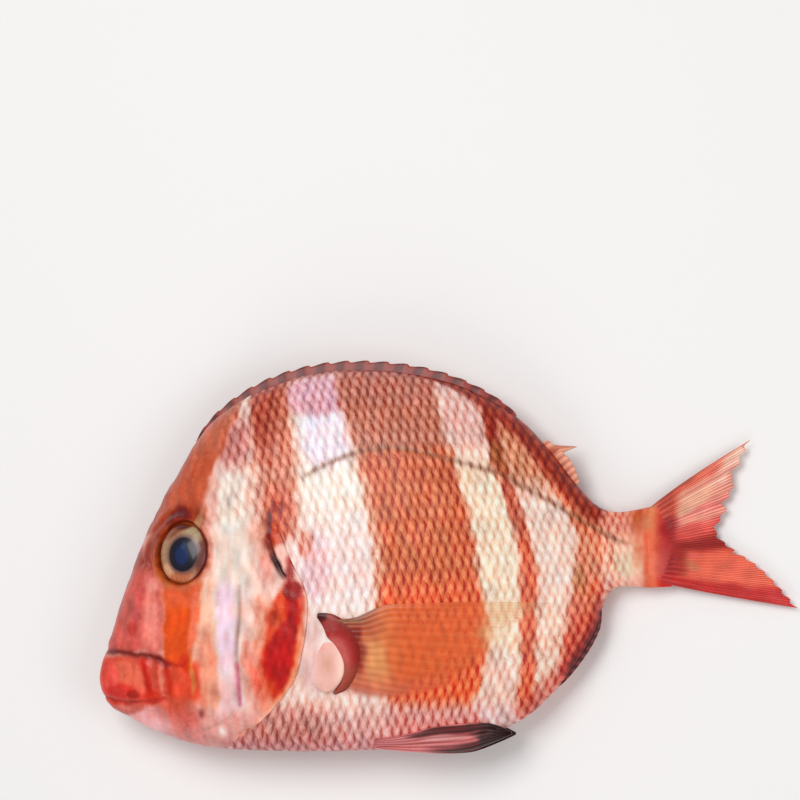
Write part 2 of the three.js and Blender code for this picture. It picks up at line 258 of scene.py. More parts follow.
@dataclass(frozen=True)
class FishForm:
    """The body as a loft: cross-lines from belly to back, each swelling to either flank."""

    back: Curve2 = Curve2((
        (0, 0), (0.9, 8.3), (4, 17.5), (9.5, 35), (18, 57), (31, 80.5), (43, 101), (58, 114), (78, 123),
        (102, 127), (130, 125.6), (154, 119.6), (176, 107.8), (192, 91.5), (203, 76.7), (211, 69),
        (219.5, 67), (232, 68.8),
    ))
    belly: Curve2 = Curve2((
        (0, 0), (0.9, -6), (4.5, -10.9), (12, -15.2), (24, -21.6), (38, -26.2), (58, -29), (88, -30),
        (120, -29.5), (147, -28.1), (165, -23.8), (181, -16), (194, -4), (203.5, 8.5), (209.5, 19),
        (211.5, 27), (214.5, 33.8), (219.5, 36.4), (232, 35.7),
    ))
    half_thickness: Profile = Profile((
        (0, 0), (0.01, 3.6), (0.03, 6.6), (0.06, 9.2), (0.1, 12), (0.16, 15.4), (0.23, 18.6), (0.32, 22.4),
        (0.42, 25), (0.52, 25), (0.62, 22.6), (0.72, 18.2), (0.81, 13.2), (0.89, 9), (0.95, 6.4), (1, 4.8),
    ))
    middle_height: Profile = Profile((
        (0, 20), (40, 21.5), (75, 21), (120, 20), (160, 17), (200, 11), (232, 6.6), (262, 3.8), (300, 2.4),
    ))
    fullness: float = 2.3
    low_side: float = 0.92

    def skin(self, s: Array, t: Array, side: Array | int) -> Array:
        """Points of the skin.

        The plan point is V(s) + (D(s) - V(s))(t + 1)/2 between belly line V and back line D, and the
        height is the middle plane's, plus or minus H(s) sqrt(1 - |t|^2.3), cut flat at the floor.

        Args:
            s: share of the way from snout to tail root.
            t: place across the flank, from -1 at the belly to 1 at the back.
            side: 1 on the upper flank and -1 on the lower one.

        Returns:
            An array of plan points with a last axis of 3.
        """
        belly, back = self.belly.at(s), self.back.at(s)
        plan = belly + (back - belly) * ((t + 1) / 2)[..., None]
        rise = self.half_thickness(s) * np.sqrt(np.maximum(1 - np.abs(t) ** self.fullness, 0))
        z = self.middle_height(plan[..., 0]) + np.where(np.asarray(side) > 0, rise, -self.low_side * rise)
        return np.concatenate([plan, np.maximum(z, 0)[..., None]], -1)

    def locate(self, x: Array, y: Array) -> tuple[Array, Array]:
        """The (s, t) of plan points, by halving: a cross-line lies ahead of the point or behind it.

        Args:
            x, y: plan points, in mm.

        Returns:
            The share s of the way to the tail root, and the place t across.
        """
        x, y = np.broadcast_arrays(np.asarray(x, float), np.asarray(y, float))
        near, far = np.zeros(x.shape), np.ones(x.shape)
        for _ in range(30):
            s = (near + far) / 2
            belly, across = self.belly.at(s), self.back.at(s) - self.belly.at(s)
            behind = across[..., 0] * (y - belly[..., 1]) - across[..., 1] * (x - belly[..., 0]) < 0
            near, far = np.where(behind, s, near), np.where(behind, far, s)
        belly, across = self.belly.at(s), self.back.at(s) - self.belly.at(s)
        share = (x - belly[..., 0]) * across[..., 0] + (y - belly[..., 1]) * across[..., 1]
        return s, 2 * share / np.sum(across**2, -1) - 1

    def over(self, x: Array, y: Array, side: Side) -> Array:
        """The skin's points over plan points, with the edge's height kept beyond the outline.

        Args:
            x, y: plan points, in mm.
            side: the flank.

        Returns:
            Plan points with their heights, in mm.
        """
        s, t = self.locate(x, y)
        z = self.skin(s, np.clip(t, -0.985, 0.985), side.value)[..., 2]
        return np.stack([np.broadcast_to(x, z.shape), np.broadcast_to(y, z.shape), z], -1)

    def facing(self, x: float, y: float, side: Side) -> Array:
        """The unit vector out of the skin over one plan point, from height differences 1.5 mm away.

        Args:
            x, y: the plan point, in mm.
            side: the flank.

        Returns:
            The vector's three parts.
        """
        reach = 1.5
        xs, ys = np.array([x + reach, x - reach, x, x]), np.array([y, y, y + reach, y - reach])
        z = self.over(xs, ys, side)[:, 2]
        out = np.array([(z[1] - z[0]) / (2 * reach), (z[3] - z[2]) / (2 * reach), 1.0]) * side.value
        return out / np.linalg.norm(out)


FORM = FishForm()
PLAN = Plan()


# Meshes from grids


class Cap(Enum):
    """How an end of a tube of points is shut: a fan to one point, or a zip across a flat fin."""

    OPEN = 0
    FAN = 1
    ZIP = 2


@dataclass
class Tube:
    """A grid of plan points whose columns close round into a ring, as a mesh with UVs and attributes."""

    name: str
    points: Array
    first: Cap = Cap.OPEN
    last: Cap = Cap.OPEN
    uv: Array | None = None
    colours: dict[str, Array] = field(default_factory=dict)
    values: dict[str, Array] = field(default_factory=dict)

    def faces(self) -> tuple[Array, Array]:
        """Quads between neighbouring rows and columns and across zips, and the triangles of fans.

        Returns:
            The vertex numbers of the quads and of the triangles.
        """
        rows, columns = self.points.shape[:2]
        i, j = np.meshgrid(np.arange(rows - 1), np.arange(columns), indexing="ij")
        k = (j + 1) % columns
        quads = [np.stack([i * columns + j, i * columns + k, (i + 1) * columns + k, (i + 1) * columns + j], -1)]
        quads[0] = quads[0].reshape(-1, 4)
        fans = [np.empty((0, 3), int)]
        extra, j, k = rows * columns, np.arange(columns), np.arange(columns // 2 - 1)
        for row, cap in ((0, self.first), (rows - 1, self.last)):
            start, turn = row * columns, 1 if row == 0 else -1
            if cap is Cap.FAN:
                fan = np.stack([start + (j + 1) % columns, start + j, np.full(columns, extra)], -1)
                fans.append(fan[:, ::turn])
                extra += 1
            if cap is Cap.ZIP:
                under = start + columns - 1 - k
                quads.append(np.stack([start + k + 1, start + k, under, under - 1], -1)[:, ::turn])
        return np.concatenate(quads), np.concatenate(fans)

    def by_vertex(self, grid: Array) -> Array:
        """A grid's values in vertex order, with the mean of a fanned row for its pole.

        Args:
            grid: values by row and column.

        Returns:
            The values, vertex by vertex.
        """
        flat = grid.reshape(-1, *grid.shape[2:])
        extra = [grid[row].mean(0)[None] for row, cap in ((0, self.first), (-1, self.last)) if cap is Cap.FAN]
        return np.concatenate([flat, *extra]) if extra else flat

    def build(self) -> bpy.types.Object:
        """The object at the origin, its place in its mesh, smooth, with its faces pointing out.

        Returns:
            The object.
        """
        spots = PLAN.world(self.by_vertex(self.points))
        quads, fans = self.faces()
        mid = spots - spots.mean(0)
        halves = np.concatenate([quads[:, [0, 1, 2]], quads[:, [0, 2, 3]], fans])
        volume = np.sum(mid[halves[:, 0]] * np.cross(mid[halves[:, 1]], mid[halves[:, 2]]))
        turn = 1 if volume > 0 else -1
        corners = np.concatenate([quads[:, ::turn].ravel(), fans[:, ::turn].ravel()])
        sizes = np.concatenate([np.full(len(quads), 4), np.full(len(fans), 3)])
        mesh = bpy.data.meshes.new(self.name)
        mesh.vertices.add(len(spots))
        mesh.vertices.foreach_set("co", spots.ravel())
        mesh.loops.add(len(corners))
        mesh.loops.foreach_set("vertex_index", corners.astype(np.int32))
        mesh.polygons.add(len(sizes))
        mesh.polygons.foreach_set("loop_start", (np.cumsum(sizes) - sizes).astype(np.int32))
        mesh.polygons.foreach_set("use_smooth", np.ones(len(sizes), bool))
        mesh.update(calc_edges=True)
        if self.uv is not None:
            mesh.uv_layers.new(name="lattice").data.foreach_set("uv", self.by_vertex(self.uv)[corners].ravel())
        for name, grid in self.colours.items():
            rgba = np.concatenate([self.by_vertex(grid), np.ones((len(spots), 1))], 1)
            mesh.color_attributes.new(name, "FLOAT_COLOR", "POINT").data.foreach_set("color", rgba.ravel())
        for name, grid in self.values.items():
            mesh.attributes.new(name, "FLOAT", "POINT").data.foreach_set("value", self.by_vertex(grid).ravel())
        mesh.validate()
        piece = bpy.data.objects.new(self.name, mesh)
        bpy.context.scene.collection.objects.link(piece)
        return piece


def normals(points: Array) -> Array:
    """Unit normals of a ring grid: the cross product of its row and column differences, turned outward.

    Args:
        points: the ring grid.

    Returns:
        Unit vectors on the same grid.
    """
    across = np.roll(points, -1, 1) - np.roll(points, 1, 1)
    out = np.cross(np.gradient(points, axis=0), across)
    out /= np.maximum(np.linalg.norm(out, axis=-1, keepdims=True), 1e-9)
    return out * np.sign(np.sum(out * (points - points.mean(1, keepdims=True))))


def flat_ring(top: Array, bottom: Array) -> Array:
    """The top and bottom grids of a thin fin as one ring of columns: across the top and back underneath."""
    return np.concatenate([top, bottom[:, ::-1]], 1)


def around(upper: int, lower: int) -> tuple[Array, Array]:
    """The columns round the body, closest at its edges: t = cos of the angle, and the flank's sign.

    Args:
        upper: columns of the upper flank.
        lower: columns of the lower flank.

    Returns:
        t and the flank's sign, column by column.
    """
    high = np.linspace(0, math.pi, upper, endpoint=False)
    low = np.linspace(math.pi, 2 * math.pi, lower, endpoint=False)
    return np.cos(np.concatenate([high, low])), np.repeat([1, -1], [upper, lower])


# The pattern of the scales


@dataclass(frozen=True)
class ScaleLattice:
    """Overlapping scales in staggered rows, on lattice coordinates a (tailward) and b (across).

    Row j has its rear edges at a = k + j/2 - bulge (b - j)^2, and of the two nearest rows the edge
    that comes first lies on top. The distance to that edge is the height's saw tooth.
    """

    pitch: float = 4.0
    tail_pitch: float = 2.9
    row_pitch: float = 5.4
    bulge: float = 0.5
    lift: float = 0.08

    def column(self, x: Array, y: Array) -> Array:
        """The coordinate X = x + 0.0024 (y - 24)^2, constant along the bowed columns of scales."""
        return x + 0.0024 * (y - 24) ** 2

    def along(self, x: Array, y: Array) -> Array:
        """a = the integral of dX / pitch, with the pitch shrinking evenly towards the tail.

        Args:
            x, y: plan points, in mm.

        Returns:
            The lattice coordinate a.
        """
        column = self.column(x, y)
        slope = (self.tail_pitch - self.pitch) / 130
        local = np.maximum(self.pitch + slope * (column - 110), 2.0)
        return np.log(local / self.pitch) / slope

    def across(self, s: Array, t: Array, x: Array) -> Array:
        """b = arc length across the flank from its middle over the row pitch, alike on both flanks.

        Args:
            s: share of the way to the tail root.
            t: place across the flank.
            x: place along the plan, in mm.

        Returns:
            The lattice coordinate b.
        """
        angles = np.linspace(0, math.pi, 241)
        grid = FORM.skin(*np.meshgrid(np.linspace(0, 1, 81), np.cos(angles), indexing="ij"), 1)
        step = np.linalg.norm(np.diff(grid, axis=1), axis=-1)
        arc = np.concatenate([np.zeros((81, 1)), np.cumsum(step, 1)], 1)
        arc -= arc[:, 120:121]
        i, j = np.clip(s, 0, 1) * 80, np.arccos(np.clip(t, -1, 1)) / math.pi * 240
        k, m = np.minimum(i.astype(int), 79), np.minimum(j.astype(int), 239)
        u, v = i - k, j - m
        low, high = arc[k, m] * (1 - v) + arc[k, m + 1] * v, arc[k + 1, m] * (1 - v) + arc[k + 1, m + 1] * v
        return (low * (1 - u) + high * u) / (self.row_pitch * (1 - 0.28 * ramp(x, 130, 232)))

    def cells(self, a: Array, b: Array) -> tuple[Array, Array, Array]:
        """The distance to the rear edge of the scale on top, and the middle (a, b) of that scale.

        Args:
            a, b: lattice coordinates.

        Returns:
            The distance, in scales, and the middle's a and b.
        """
        low = np.floor(b)
        choices = []
        for row in (low, low + 1):
            shift = 0.5 * np.mod(row, 2)
            place = a - shift + self.bulge * (b - row) ** 2
            left = np.floor(place) + 1 - place
            choices.append((left, np.floor(place) + 0.6 + shift, row))
        first = choices[0][0] < choices[1][0]
        return tuple(np.where(first, one, other) for one, other in zip(*choices))


LATTICE = ScaleLattice()


# Relief of the head and flank


@dataclass(frozen=True)
class Relief:
    """How far the skin stands out of the smooth form, in mm, as sums of bumps and grooves on the plan."""

    orbit: tuple[float, float] = (41.0, 51.6)
    orbit_radii: tuple[float, float] = (13.0, 13.9)
    mouth: Points = ((-3, -5.4), (5, -7.8), (13, -9.6), (22, -9.4), (33, -8.8))
    lip: Points = ((-3, 14.5), (7, 11.8), (14, 11.4), (24, 10), (31, 7.4), (37, 5.4))
    jaw: Points = ((31, 7.2), (33.8, 0), (33, -8))
    cheek: Points = ((68, 38), (67.8, 26), (66.6, 14), (66.2, 0), (65, -12), (57, -19), (44, -23))
    gill_top: Points = ((80.5, 56), (83.9, 47.2), (88.4, 39.6))
    gill_slot: Points = ((90.3, 48.5), (90.6, 40.5))
    lateral: Points = (
        (90, 76), (94.7, 80.8), (101, 84.7), (107, 87.4), (117, 91.1), (128.8, 92.8), (141, 91.4), (154.8, 87.6),
        (173.4, 82.2), (183, 76.8), (192.3, 71.6), (204.3, 64), (219.8, 55), (234, 52),
    )

    def socket(self, x: Array, y: Array) -> Array:
        """The orbit: a soft rim round a socket that drops 4.6 mm, with a faint fold outside it.

        Args:
            x, y: plan points, in mm.

        Returns:
            Heights, in mm.
        """
        round_eye = ellipse(x, y, self.orbit, self.orbit_radii)
        return (
            0.9 * bell(round_eye, 1.04, 0.1)
            - 4.6 * (1 - ramp(round_eye, 0.86, 0.99))
            - 0.3 * bell(round_eye, 1.28, 0.07)
            + 0.3 * bell(round_eye, 1.42, 0.12)
        )

    def mouth_parts(self, x: Array, y: Array) -> Array:
        """The shut mouth: a slit between two rolled lips, the bulging upper lip and the jaw plate.

        Args:
            x, y: plan points, in mm.

        Returns:
            Heights, in mm.
        """
        slit, groove = stroke(x, y, self.mouth), stroke(x, y, self.lip)
        ahead = 1 - ramp(x, 31, 37)
        rolled = 0.25 * bell(slit, 2.4, 1.7) * ahead - (0.3 + 0.45 * ramp(x, 5, 14)) * bell(slit, 0, 0.8)
        lip = 0.9 * blob(x, y, (14, 2.0), (13, 8.6), -8) - 0.55 * bell(groove, 0, 1.5)
        fold = 0.25 * bell(groove, 3.4, 1.8) * ahead
        plates = 0.3 * blob(x, y, (26.0, 0.6), (2.6, 7.4), 12) + 0.35 * blob(x, y, (31.0, 0), (2.4, 7.4), 6)
        plates -= 0.3 * bell(stroke(x, y, self.jaw), 0, 1.1)
        lower = 0.35 * blob(x, y, (16, -11.6), (15, 3.0), 4)
        return rolled + lip + fold + plates + lower

    def face(self, x: Array, y: Array) -> Array:
        """Nostrils, cheek muscle, the ridge round the gill plate, and the slots at the gill's top.

        Args:
            x, y: plan points, in mm.

        Returns:
            Heights, in mm.
        """
        pits = -1.2 * bell(ellipse(x, y, (21.6, 48.6), (1.3, 1.7), 20), 0, 0.9)
        pits -= 1.1 * bell(ellipse(x, y, (26.0, 46.6), (0.9, 2.4), 25), 0, 0.9)
        ridge = stroke(x, y, self.cheek)
        bones = blob(x, y, (54, 12), (13, 22), 8) - 0.45 * bell(ridge, 0, 0.9) + 0.3 * bell(ridge, 2.6, 1.8)
        slots = -1.3 * bell(stroke(x, y, self.gill_top), 0, 1.0) - 0.5 * bell(stroke(x, y, self.gill_slot), 0, 1.0)
        flap = 0.4 * blob(x, y, (87.4, 47.4), (1.7, 6.5), 8)
        pores = sum(-0.4 * bell(np.hypot(x - px, y - py), 0, 0.7) for px, py in PORES)
        streaks = 0.1 * wobble(2.4 * x, 0.5 * y, 9, 7) + 0.12 * wobble(x, y, 5, 8)
        brow = 0.9 * bell(ellipse(x, y, (36, 62), (16, 16)), 1, 0.25) * window(y, 62, 90, 6)
        return pits + bones + slots + flap + pores + brow + streaks * (1 - ramp(x, 92, 98))

    def height(self, x: Array, y: Array) -> Array:
        """The whole relief, with a faint unevenness of the flesh.

        Args:
            x, y: plan points, in mm.

        Returns:
            Heights, in mm.
        """
        side_line = stroke(x, y, self.lateral)
        seam = (0.25 * bell(side_line, 0, 2.2) - 0.3 * bell(side_line, 0, 1.0)) * window(x, 95, 223, 4)
        flesh = 0.28 * wobble(x, y, 34, 3) + 0.1 * wobble(x, y, 11, 5)
        return self.socket(x, y) + self.mouth_parts(x, y) + self.face(x, y) + seam + flesh


PORES: Points = ((47.4, -14.9), (40.5, -19), (55, -21), (31, 24), (35, 18), (29, 30), (40, 12), (26, 22))
RELIEF = Relief()


# The pigments of the skin


@dataclass
class Paint:
    """Layers of display colour laid over one another on plan points."""

    colour: Array

    @classmethod
    def plain(cls, like: Array, colour: Colour) -> "Paint":
        """A first coat of one colour."""
        return cls(np.broadcast_to(np.array(colour, float), (*like.shape, 3)).copy())

    def lay(self, mask: Array, colour: Colour | Array) -> "Paint":
        """Lay a colour over those below, where mask is 1."""
        self.colour += (np.asarray(colour, float) - self.colour) * np.clip(mask, 0, 1)[..., None]
        return self


@dataclass(frozen=True)
class Bands:
    """The lines between the bands of the body, each as knots (x, y) that bow with the scale columns."""

    first_left: Points = ((79, 50), (77.5, 62), (76, 74), (74, 88), (70, 104), (64, 118))
    first_right: Points = ((93.5, 50), (94, 62), (93, 74), (92, 88), (88, 104), (84, 118))
    wide_left: Points = (
        (131, -12), (128, 20), (127.5, 40), (127, 50), (125.5, 60), (123, 70), (121, 80), (118.5, 90), (114.5, 100),
        (111, 110), (107, 122),
    )
    wide_right: Points = (
        (162, -14), (168, 0), (170, 12), (169.5, 28), (167.5, 40), (166.5, 50), (164.5, 60), (162.5, 70),
        (159, 80), (156, 91), (152, 100), (149, 110), (145, 122),
    )
    thin_left: Points = (
        (179, -16), (182, 5), (182, 20), (182.8, 32), (183, 42), (182, 52), (180, 62), (177.5, 70), (174.5, 80),
        (171, 90), (168.5, 98), (166, 107), (163, 116),
    )
    thin_right: Points = (
        (185, -14), (188.3, 5), (189.5, 20), (189.5, 32), (189, 42), (187.5, 52), (184.5, 62), (181.5, 71), (178.5, 81),
        (176, 90), (173.5, 98), (171.5, 107), (168, 116),
    )
    rear_left: Points = (
        (195, -4), (197.5, 6), (199.5, 18), (201, 28), (202.5, 38), (204.5, 48), (204, 58), (200, 67), (194.5, 75),
        (190, 82), (183, 94),
    )
    dark_back: Profile = Profile((
        (110, 0.6), (140, 1.2), (152, 3), (165, 6.5), (180, 11.5), (195, 15), (207, 10.5), (219, 5), (232, 3),
    ))


BANDS = Bands()


@dataclass(frozen=True)
class SkinPigment:
    """The banded skin: what colour each band and patch of the fish has."""

    shade_power: float = 2.1
    shade_gain: float = 0.94
    sheen: float = 0.01

    def body(self, x: Array, y: Array) -> Paint:
        """The white and lilac shoulder, and the bands from head to tail root.

        Args:
            x, y: plan points, in mm.

        Returns:
            The painted layers.
        """
        paint = Paint.plain(x, (248, 228, 214))
        paint.lay(window(y, 24, 62, 14) * (1 - ramp(x, 120, 132)), (246, 214, 208))
        paint.lay(blob(x, y, (101, 44), (6, 14)) * 0.7, (236, 184, 190))
        paint.lay(blob(x, y, (96.5, 54), (3.5, 5)) * 0.7, (226, 134, 108))
        paint.lay(blob(x, y, (104, 99), (12, 14)) * 0.85, (240, 222, 238))
        paint.lay(blob(x, y, (97, 116), (17, 9)) * 0.85, (226, 164, 180))
        paint.lay((1 - ramp(y, -2, 18)) * (1 - ramp(x, 122, 140)) * 0.8, (238, 194, 180))
        paint.lay(blob(x, y, (99, 8), (5, 16)) * 0.7, (234, 188, 184))
        first = window(x, line_x(y, *BANDS.first_left), line_x(y, *BANDS.first_right), 3.6) * ramp(y, 52, 60)
        paint.lay(first, (216, 128, 100))
        paint.lay(first * (1 - ramp(x, 76, 88)) * ramp(y, 84, 98), (180, 76, 54))
        paint.lay(first * window(x, 80, 90, 3.5) * window(y, 56, 76, 6) * 0.85, (206, 88, 56))
        paint.lay(blob(x, y, (84.5, 69), (3.4, 2.6)) * 0.8, (164, 46, 30))
        left, right = line_x(y, *BANDS.wide_left), line_x(y, *BANDS.wide_right)
        band = ramp(x, left - 5, left + 4) * (1 - ramp(x, right - 3, right + 3)) * ramp(y, -18, -6)
        paint.lay(band, (210, 106, 64))
        paint.lay(band * (1 - ramp(y, 26, 46)), (232, 100, 54))
        paint.lay(band * window(y, 80, 91, 4) * 0.55, (200, 94, 58))
        paint.lay(band * window(x, right - 6, right + 2, 2) * window(y, 40, 80, 8) * 0.5, (204, 90, 54))
        paint.lay(band * ramp(y, 90, 95), (196, 116, 92))
        paint.lay(band * ramp(y, 104, 118), (196, 118, 100))
        thin_left, thin_right = line_x(y, *BANDS.thin_left), line_x(y, *BANDS.thin_right)
        cream = window(x, right, thin_left, 2.4)
        paint.lay(cream, (246, 216, 190))
        paint.lay(cream * ramp(y, 82, 98), (234, 182, 172))
        paint.lay(cream * (1 - ramp(y, 2, 16)), (242, 196, 180))
        thin = window(x, thin_left, thin_right, 1.6)
        paint.lay(thin, (222, 100, 62))
        paint.lay(thin * ramp(y, 50, 64), (190, 84, 60))
        paint.lay(thin * ramp(y, 78, 88), (158, 80, 42))
        paint.lay(thin * ramp(y, 91, 99), (160, 48, 34))
        rear_left = line_x(y, *BANDS.rear_left)
        pale = window(x, thin_right, rear_left, 2.0)
        paint.lay(pale, (244, 206, 190))
        paint.lay(pale * (1 - ramp(y, 18, 36)) * 0.8, (246, 196, 172))
        paint.lay(pale * ramp(y, 70, 84), (216, 140, 104))
        last = window(x, rear_left, 214.5, 2.4)
        paint.lay(last, (226, 118, 80))
        paint.lay(last * window(x, 205, 212, 2) * window(y, 42, 58, 5) * 0.5, (222, 160, 130))
        paint.lay(last * (1 - ramp(y, 14, 36)), (216, 88, 62))
        paint.lay(blob(x, y, (205, 38), (2.6, 7)) * 0.6, (186, 112, 58))
        return paint

    def edges(self, paint: Paint, x: Array, y: Array, grid: "SkinGrid") -> None:
        """The dark back behind the fin, the pink belly, painted shade along the front of the back's edge, and the
        patches of the tail root.

        Args:
            paint: the layers.
            x, y: plan points, in mm.
            grid: the piece of skin.
        """
        below = 1 - ramp(y, -20, -7)
        paint.lay(below * 0.8, (226, 158, 150))
        paint.lay(below * (1 - ramp(x, 96, 108)) * 0.8, (196, 116, 102))
        paint.lay(below * window(x, 128, 168, 5) * 0.75, (222, 126, 116))
        paint.lay(below * blob(x, y, (172, -12), (8, 8)) * 0.8, (242, 212, 210))
        paint.lay((1 - ramp(y, -29, -20)) * 0.75, (206, 124, 124))
        rear = ramp(x, 172, 186)
        paint.lay(rear * (1 - ramp(grid.off_belly, 2, 9)) * 0.7, (214, 92, 76))
        paint.lay(window(x, 196, 212, 3) * (1 - ramp(grid.off_belly, 1, 6)) * 0.85, (150, 30, 26))
        paint.lay(window(x, 199, 209, 2) * (1 - ramp(grid.off_belly, 0.5, 2.6)) * 0.9, (96, 14, 18))
        width = BANDS.dark_back(x)
        paint.lay((1 - ramp(grid.off_back, width * 0.5, width * 1.15)) * ramp(x, 100, 150), (152, 46, 32))
        # Painted shade: darker within 4 mm of the back's edge ahead of x = 150 mm, where the body turns away.
        paint.lay((1 - ramp(grid.off_back, 0.5, 4)) * (1 - ramp(x, 130, 150)) * 0.6, (176, 88, 84))
        self.rear_end(paint, x, y)

    @staticmethod
    def rear_end(paint: Paint, x: Array, y: Array) -> None:
        """The pale tail root, then the salmon stripe and the crimson band, on flesh and fin alike.

        Args:
            paint: the layers.
            x, y: plan points, in mm.
        """
        root = window(x, 213.5, 240, 1.8)
        paint.lay(root, (246, 184, 158))
        paint.lay(root * ramp(y, 54, 60) * 0.85, (232, 136, 112))
        paint.lay(root * (1 - ramp(y, 38, 44)) * 0.6, (244, 164, 150))
        paint.lay(root * bell(ellipse(x, y, (223, 45), (4.2, 5)), 0, 1) * 0.9, (232, 214, 184))
        paint.lay(root * bell(x, 216.5, 1.0) * window(y, 46, 57, 3) * 0.5, (216, 122, 92))
        broken = 0.5 + 0.4 * ramp(wobble(0.3 * x, y, 7, 66), -0.5, 0.8)
        paint.lay(bell(x, 227.6, 1.8) * ramp(y, 42, 52) * broken, (206, 98, 54))
        loose = x + 0.5 * wobble(x, y, 7, 65)
        paint.lay(window(loose, 229.4, 260, 1.8), (224, 98, 62))
        paint.lay(bell(loose, 232.9, 1.8) * 0.8, (246, 124, 90))
        paint.lay(bell(loose, 226.4, 2.2) * ramp(y, 56, 64) * 0.85, (190, 84, 42))
        paint.lay(bell(loose, 232.4, 2.0) * ramp(y, 57, 62) * 0.7, (222, 146, 98))
        paint.lay(window(loose, 235.2, 270, 2.0), (204, 66, 56))
        paint.lay(window(loose, 238, 270, 2.0), (180, 38, 36))
        paint.lay(window(x, 236.5, 270, 2.0) * ramp(y, 62, 67) * 0.8, (200, 76, 42))
        paint.lay(window(x, 236, 270, 2.0) * bell(y, 59, 4) * 0.7, (160, 20, 28))
        paint.lay(window(x, 235, 270, 3.0) * (1 - ramp(y, 39, 43)) * 0.7, (214, 40, 34))

    def head(self, paint: Paint, x: Array, y: Array, grid: "SkinGrid") -> None:
        """The dark forehead, white cheek stripe, orange patch under the eye and pink snout, with painted shade near the
        outline of forehead and snout.

        Args:
            paint: the layers.
            x, y: plan points, in mm.
            grid: the piece of skin.
        """
        paint.lay(1 - ramp(y, 54, 68) * ramp(x, 66, 75), (248, 206, 192))
        paint.lay(window(x, 77.5, 84, 2.0) * window(y, 38, 58, 5) * 0.8, (234, 150, 134))
        paint.lay(window(x, 75.5, 84, 2.0) * window(y, 52, 74, 6) * 0.7, (214, 124, 94))
        paint.lay(window(x, 78.5, 84, 2.0) * window(y, 55, 72, 6), (178, 46, 8))
        paint.lay(window(x, 72, 84, 3.0) * (1 - ramp(y, 24, 38)) * 0.6, (244, 162, 134))
        front = line_x(y, (51, -8), (52, 5), (54.5, 20), (57, 35), (57, 45), (57.5, 60), (57, 72), (57.5, 86), (60, 96))
        rear = line_x(y, (70, -8), (72, 5), (73, 28), (72.5, 44), (72, 56), (71.5, 68), (70, 80), (67, 90), (63, 98))
        paint.lay(window(x, 69, 80, 3) * window(y, 54, 92, 7) * 0.6, (224, 154, 132))
        paint.lay(window(x, front, rear, 2.4 + 2 * ramp(y, 64, 88)) * window(y, -15, 90, 9), (236, 214, 200))
        paint.lay(window(x, 58, 66, 1.6) * window(y, 2, 39, 5) * 0.85, (248, 208, 228))
        paint.lay(window(x, 56, 67, 2.5) * (1 - ramp(y, -4, 6)) * 0.85, (240, 190, 192))
        paint.lay(window(x, 68.5, 73, 2.0) * (1 - ramp(y, 30, 42)) * 0.6, (244, 188, 178))
        paint.lay(window(x, 74.5, 80, 2.0) * window(y, 8, 32, 6) * 0.6, (232, 140, 112))
        paint.lay(bell(ellipse(x, y, (75, -2), (5, 10), 8), 0, 1) * 0.9, (230, 94, 68))
        paint.lay(blob(x, y, (71, 8), (2.6, 6)) * 0.6, (242, 132, 108))
        paint.lay(window(x, 57, 70, 4) * window(y, 86, 106, 6), (208, 130, 122))
        edge = line_x(y, (52.5, 56), (52, 66), (52, 74), (53, 82), (56.5, 90), (59, 98), (62, 108))
        brow = (1 - ramp(x, edge - 1.6, edge + 1.8)) * ramp(y, 56, 64)
        paint.lay(brow, (200, 88, 54))
        # Painted shade: the forehead darker near the back's outline.
        paint.lay(brow * (1 - ramp(grid.off_back, 1, 9)) * 0.8, (172, 66, 52))
        paint.lay(brow * ramp(y, 88, 98) * 0.7, (206, 112, 84))
        paint.lay(window(x, 53, 58, 2) * window(y, 62, 86, 5) * 0.5, (214, 140, 124))
        snout = (1 - ramp(x, 31, 34.5)) * (1 - ramp(y, 50, 60)) * ramp(y, 8, 13)
        paint.lay(snout, (216, 94, 84))
        paint.lay(snout * window(x, 23.5, 31, 2.4) * window(y, 11, 42, 5), (242, 138, 124))
        paint.lay(snout * blob(x, y, (16, 27), (2.6, 8), -12) * 0.5, (178, 96, 84))
        paint.lay(snout * blob(x, y, (20.5, 30), (2.4, 9), -10) * 0.5, (226, 92, 96))
        paint.lay(snout * ramp(y, 38, 50) * 0.85, (180, 84, 70))
        # Painted shade: the snout darker near its outline.
        paint.lay(snout * (1 - ramp(grid.off_back, 1, 6)) * 0.7, (172, 72, 62))
        paint.lay(blob(x, y, (18, 20), (3, 3.4)) * 0.6, (188, 54, 44))
        side = line_x(y, (45, 0), (46.5, 8), (49, 20), (50, 38))
        paint.lay(window(x, 49, 57, 2.0) * window(y, -10, 40, 4), (246, 190, 162))
        paint.lay(window(x, 48, 57, 2.4) * window(y, -14, 19, 5) * 0.8, (240, 146, 118))
        paint.lay(window(x, 33, side, 1.6) * window(y, 4, 39, 2.4), (230, 84, 30))
        paint.lay(window(x, 34, side, 1.5) * window(y, 29, 38, 3) * 0.6, (240, 112, 74))
        paint.lay(window(x, side - 3.2, side, 1.3) * window(y, 10, 36, 4) * 0.85, (252, 124, 92))
        paint.lay(window(x, 33, 50, 2.0) * window(y, -10, 6, 2.2), (232, 80, 52))
        paint.lay(blob(x, y, (43.5, 6), (3.5, 3.0)) * 0.8, (216, 58, 8))
        paint.lay(blob(x, y, (46.6, 1.5), (1.3, 8.5)) * 0.6, (222, 146, 72))

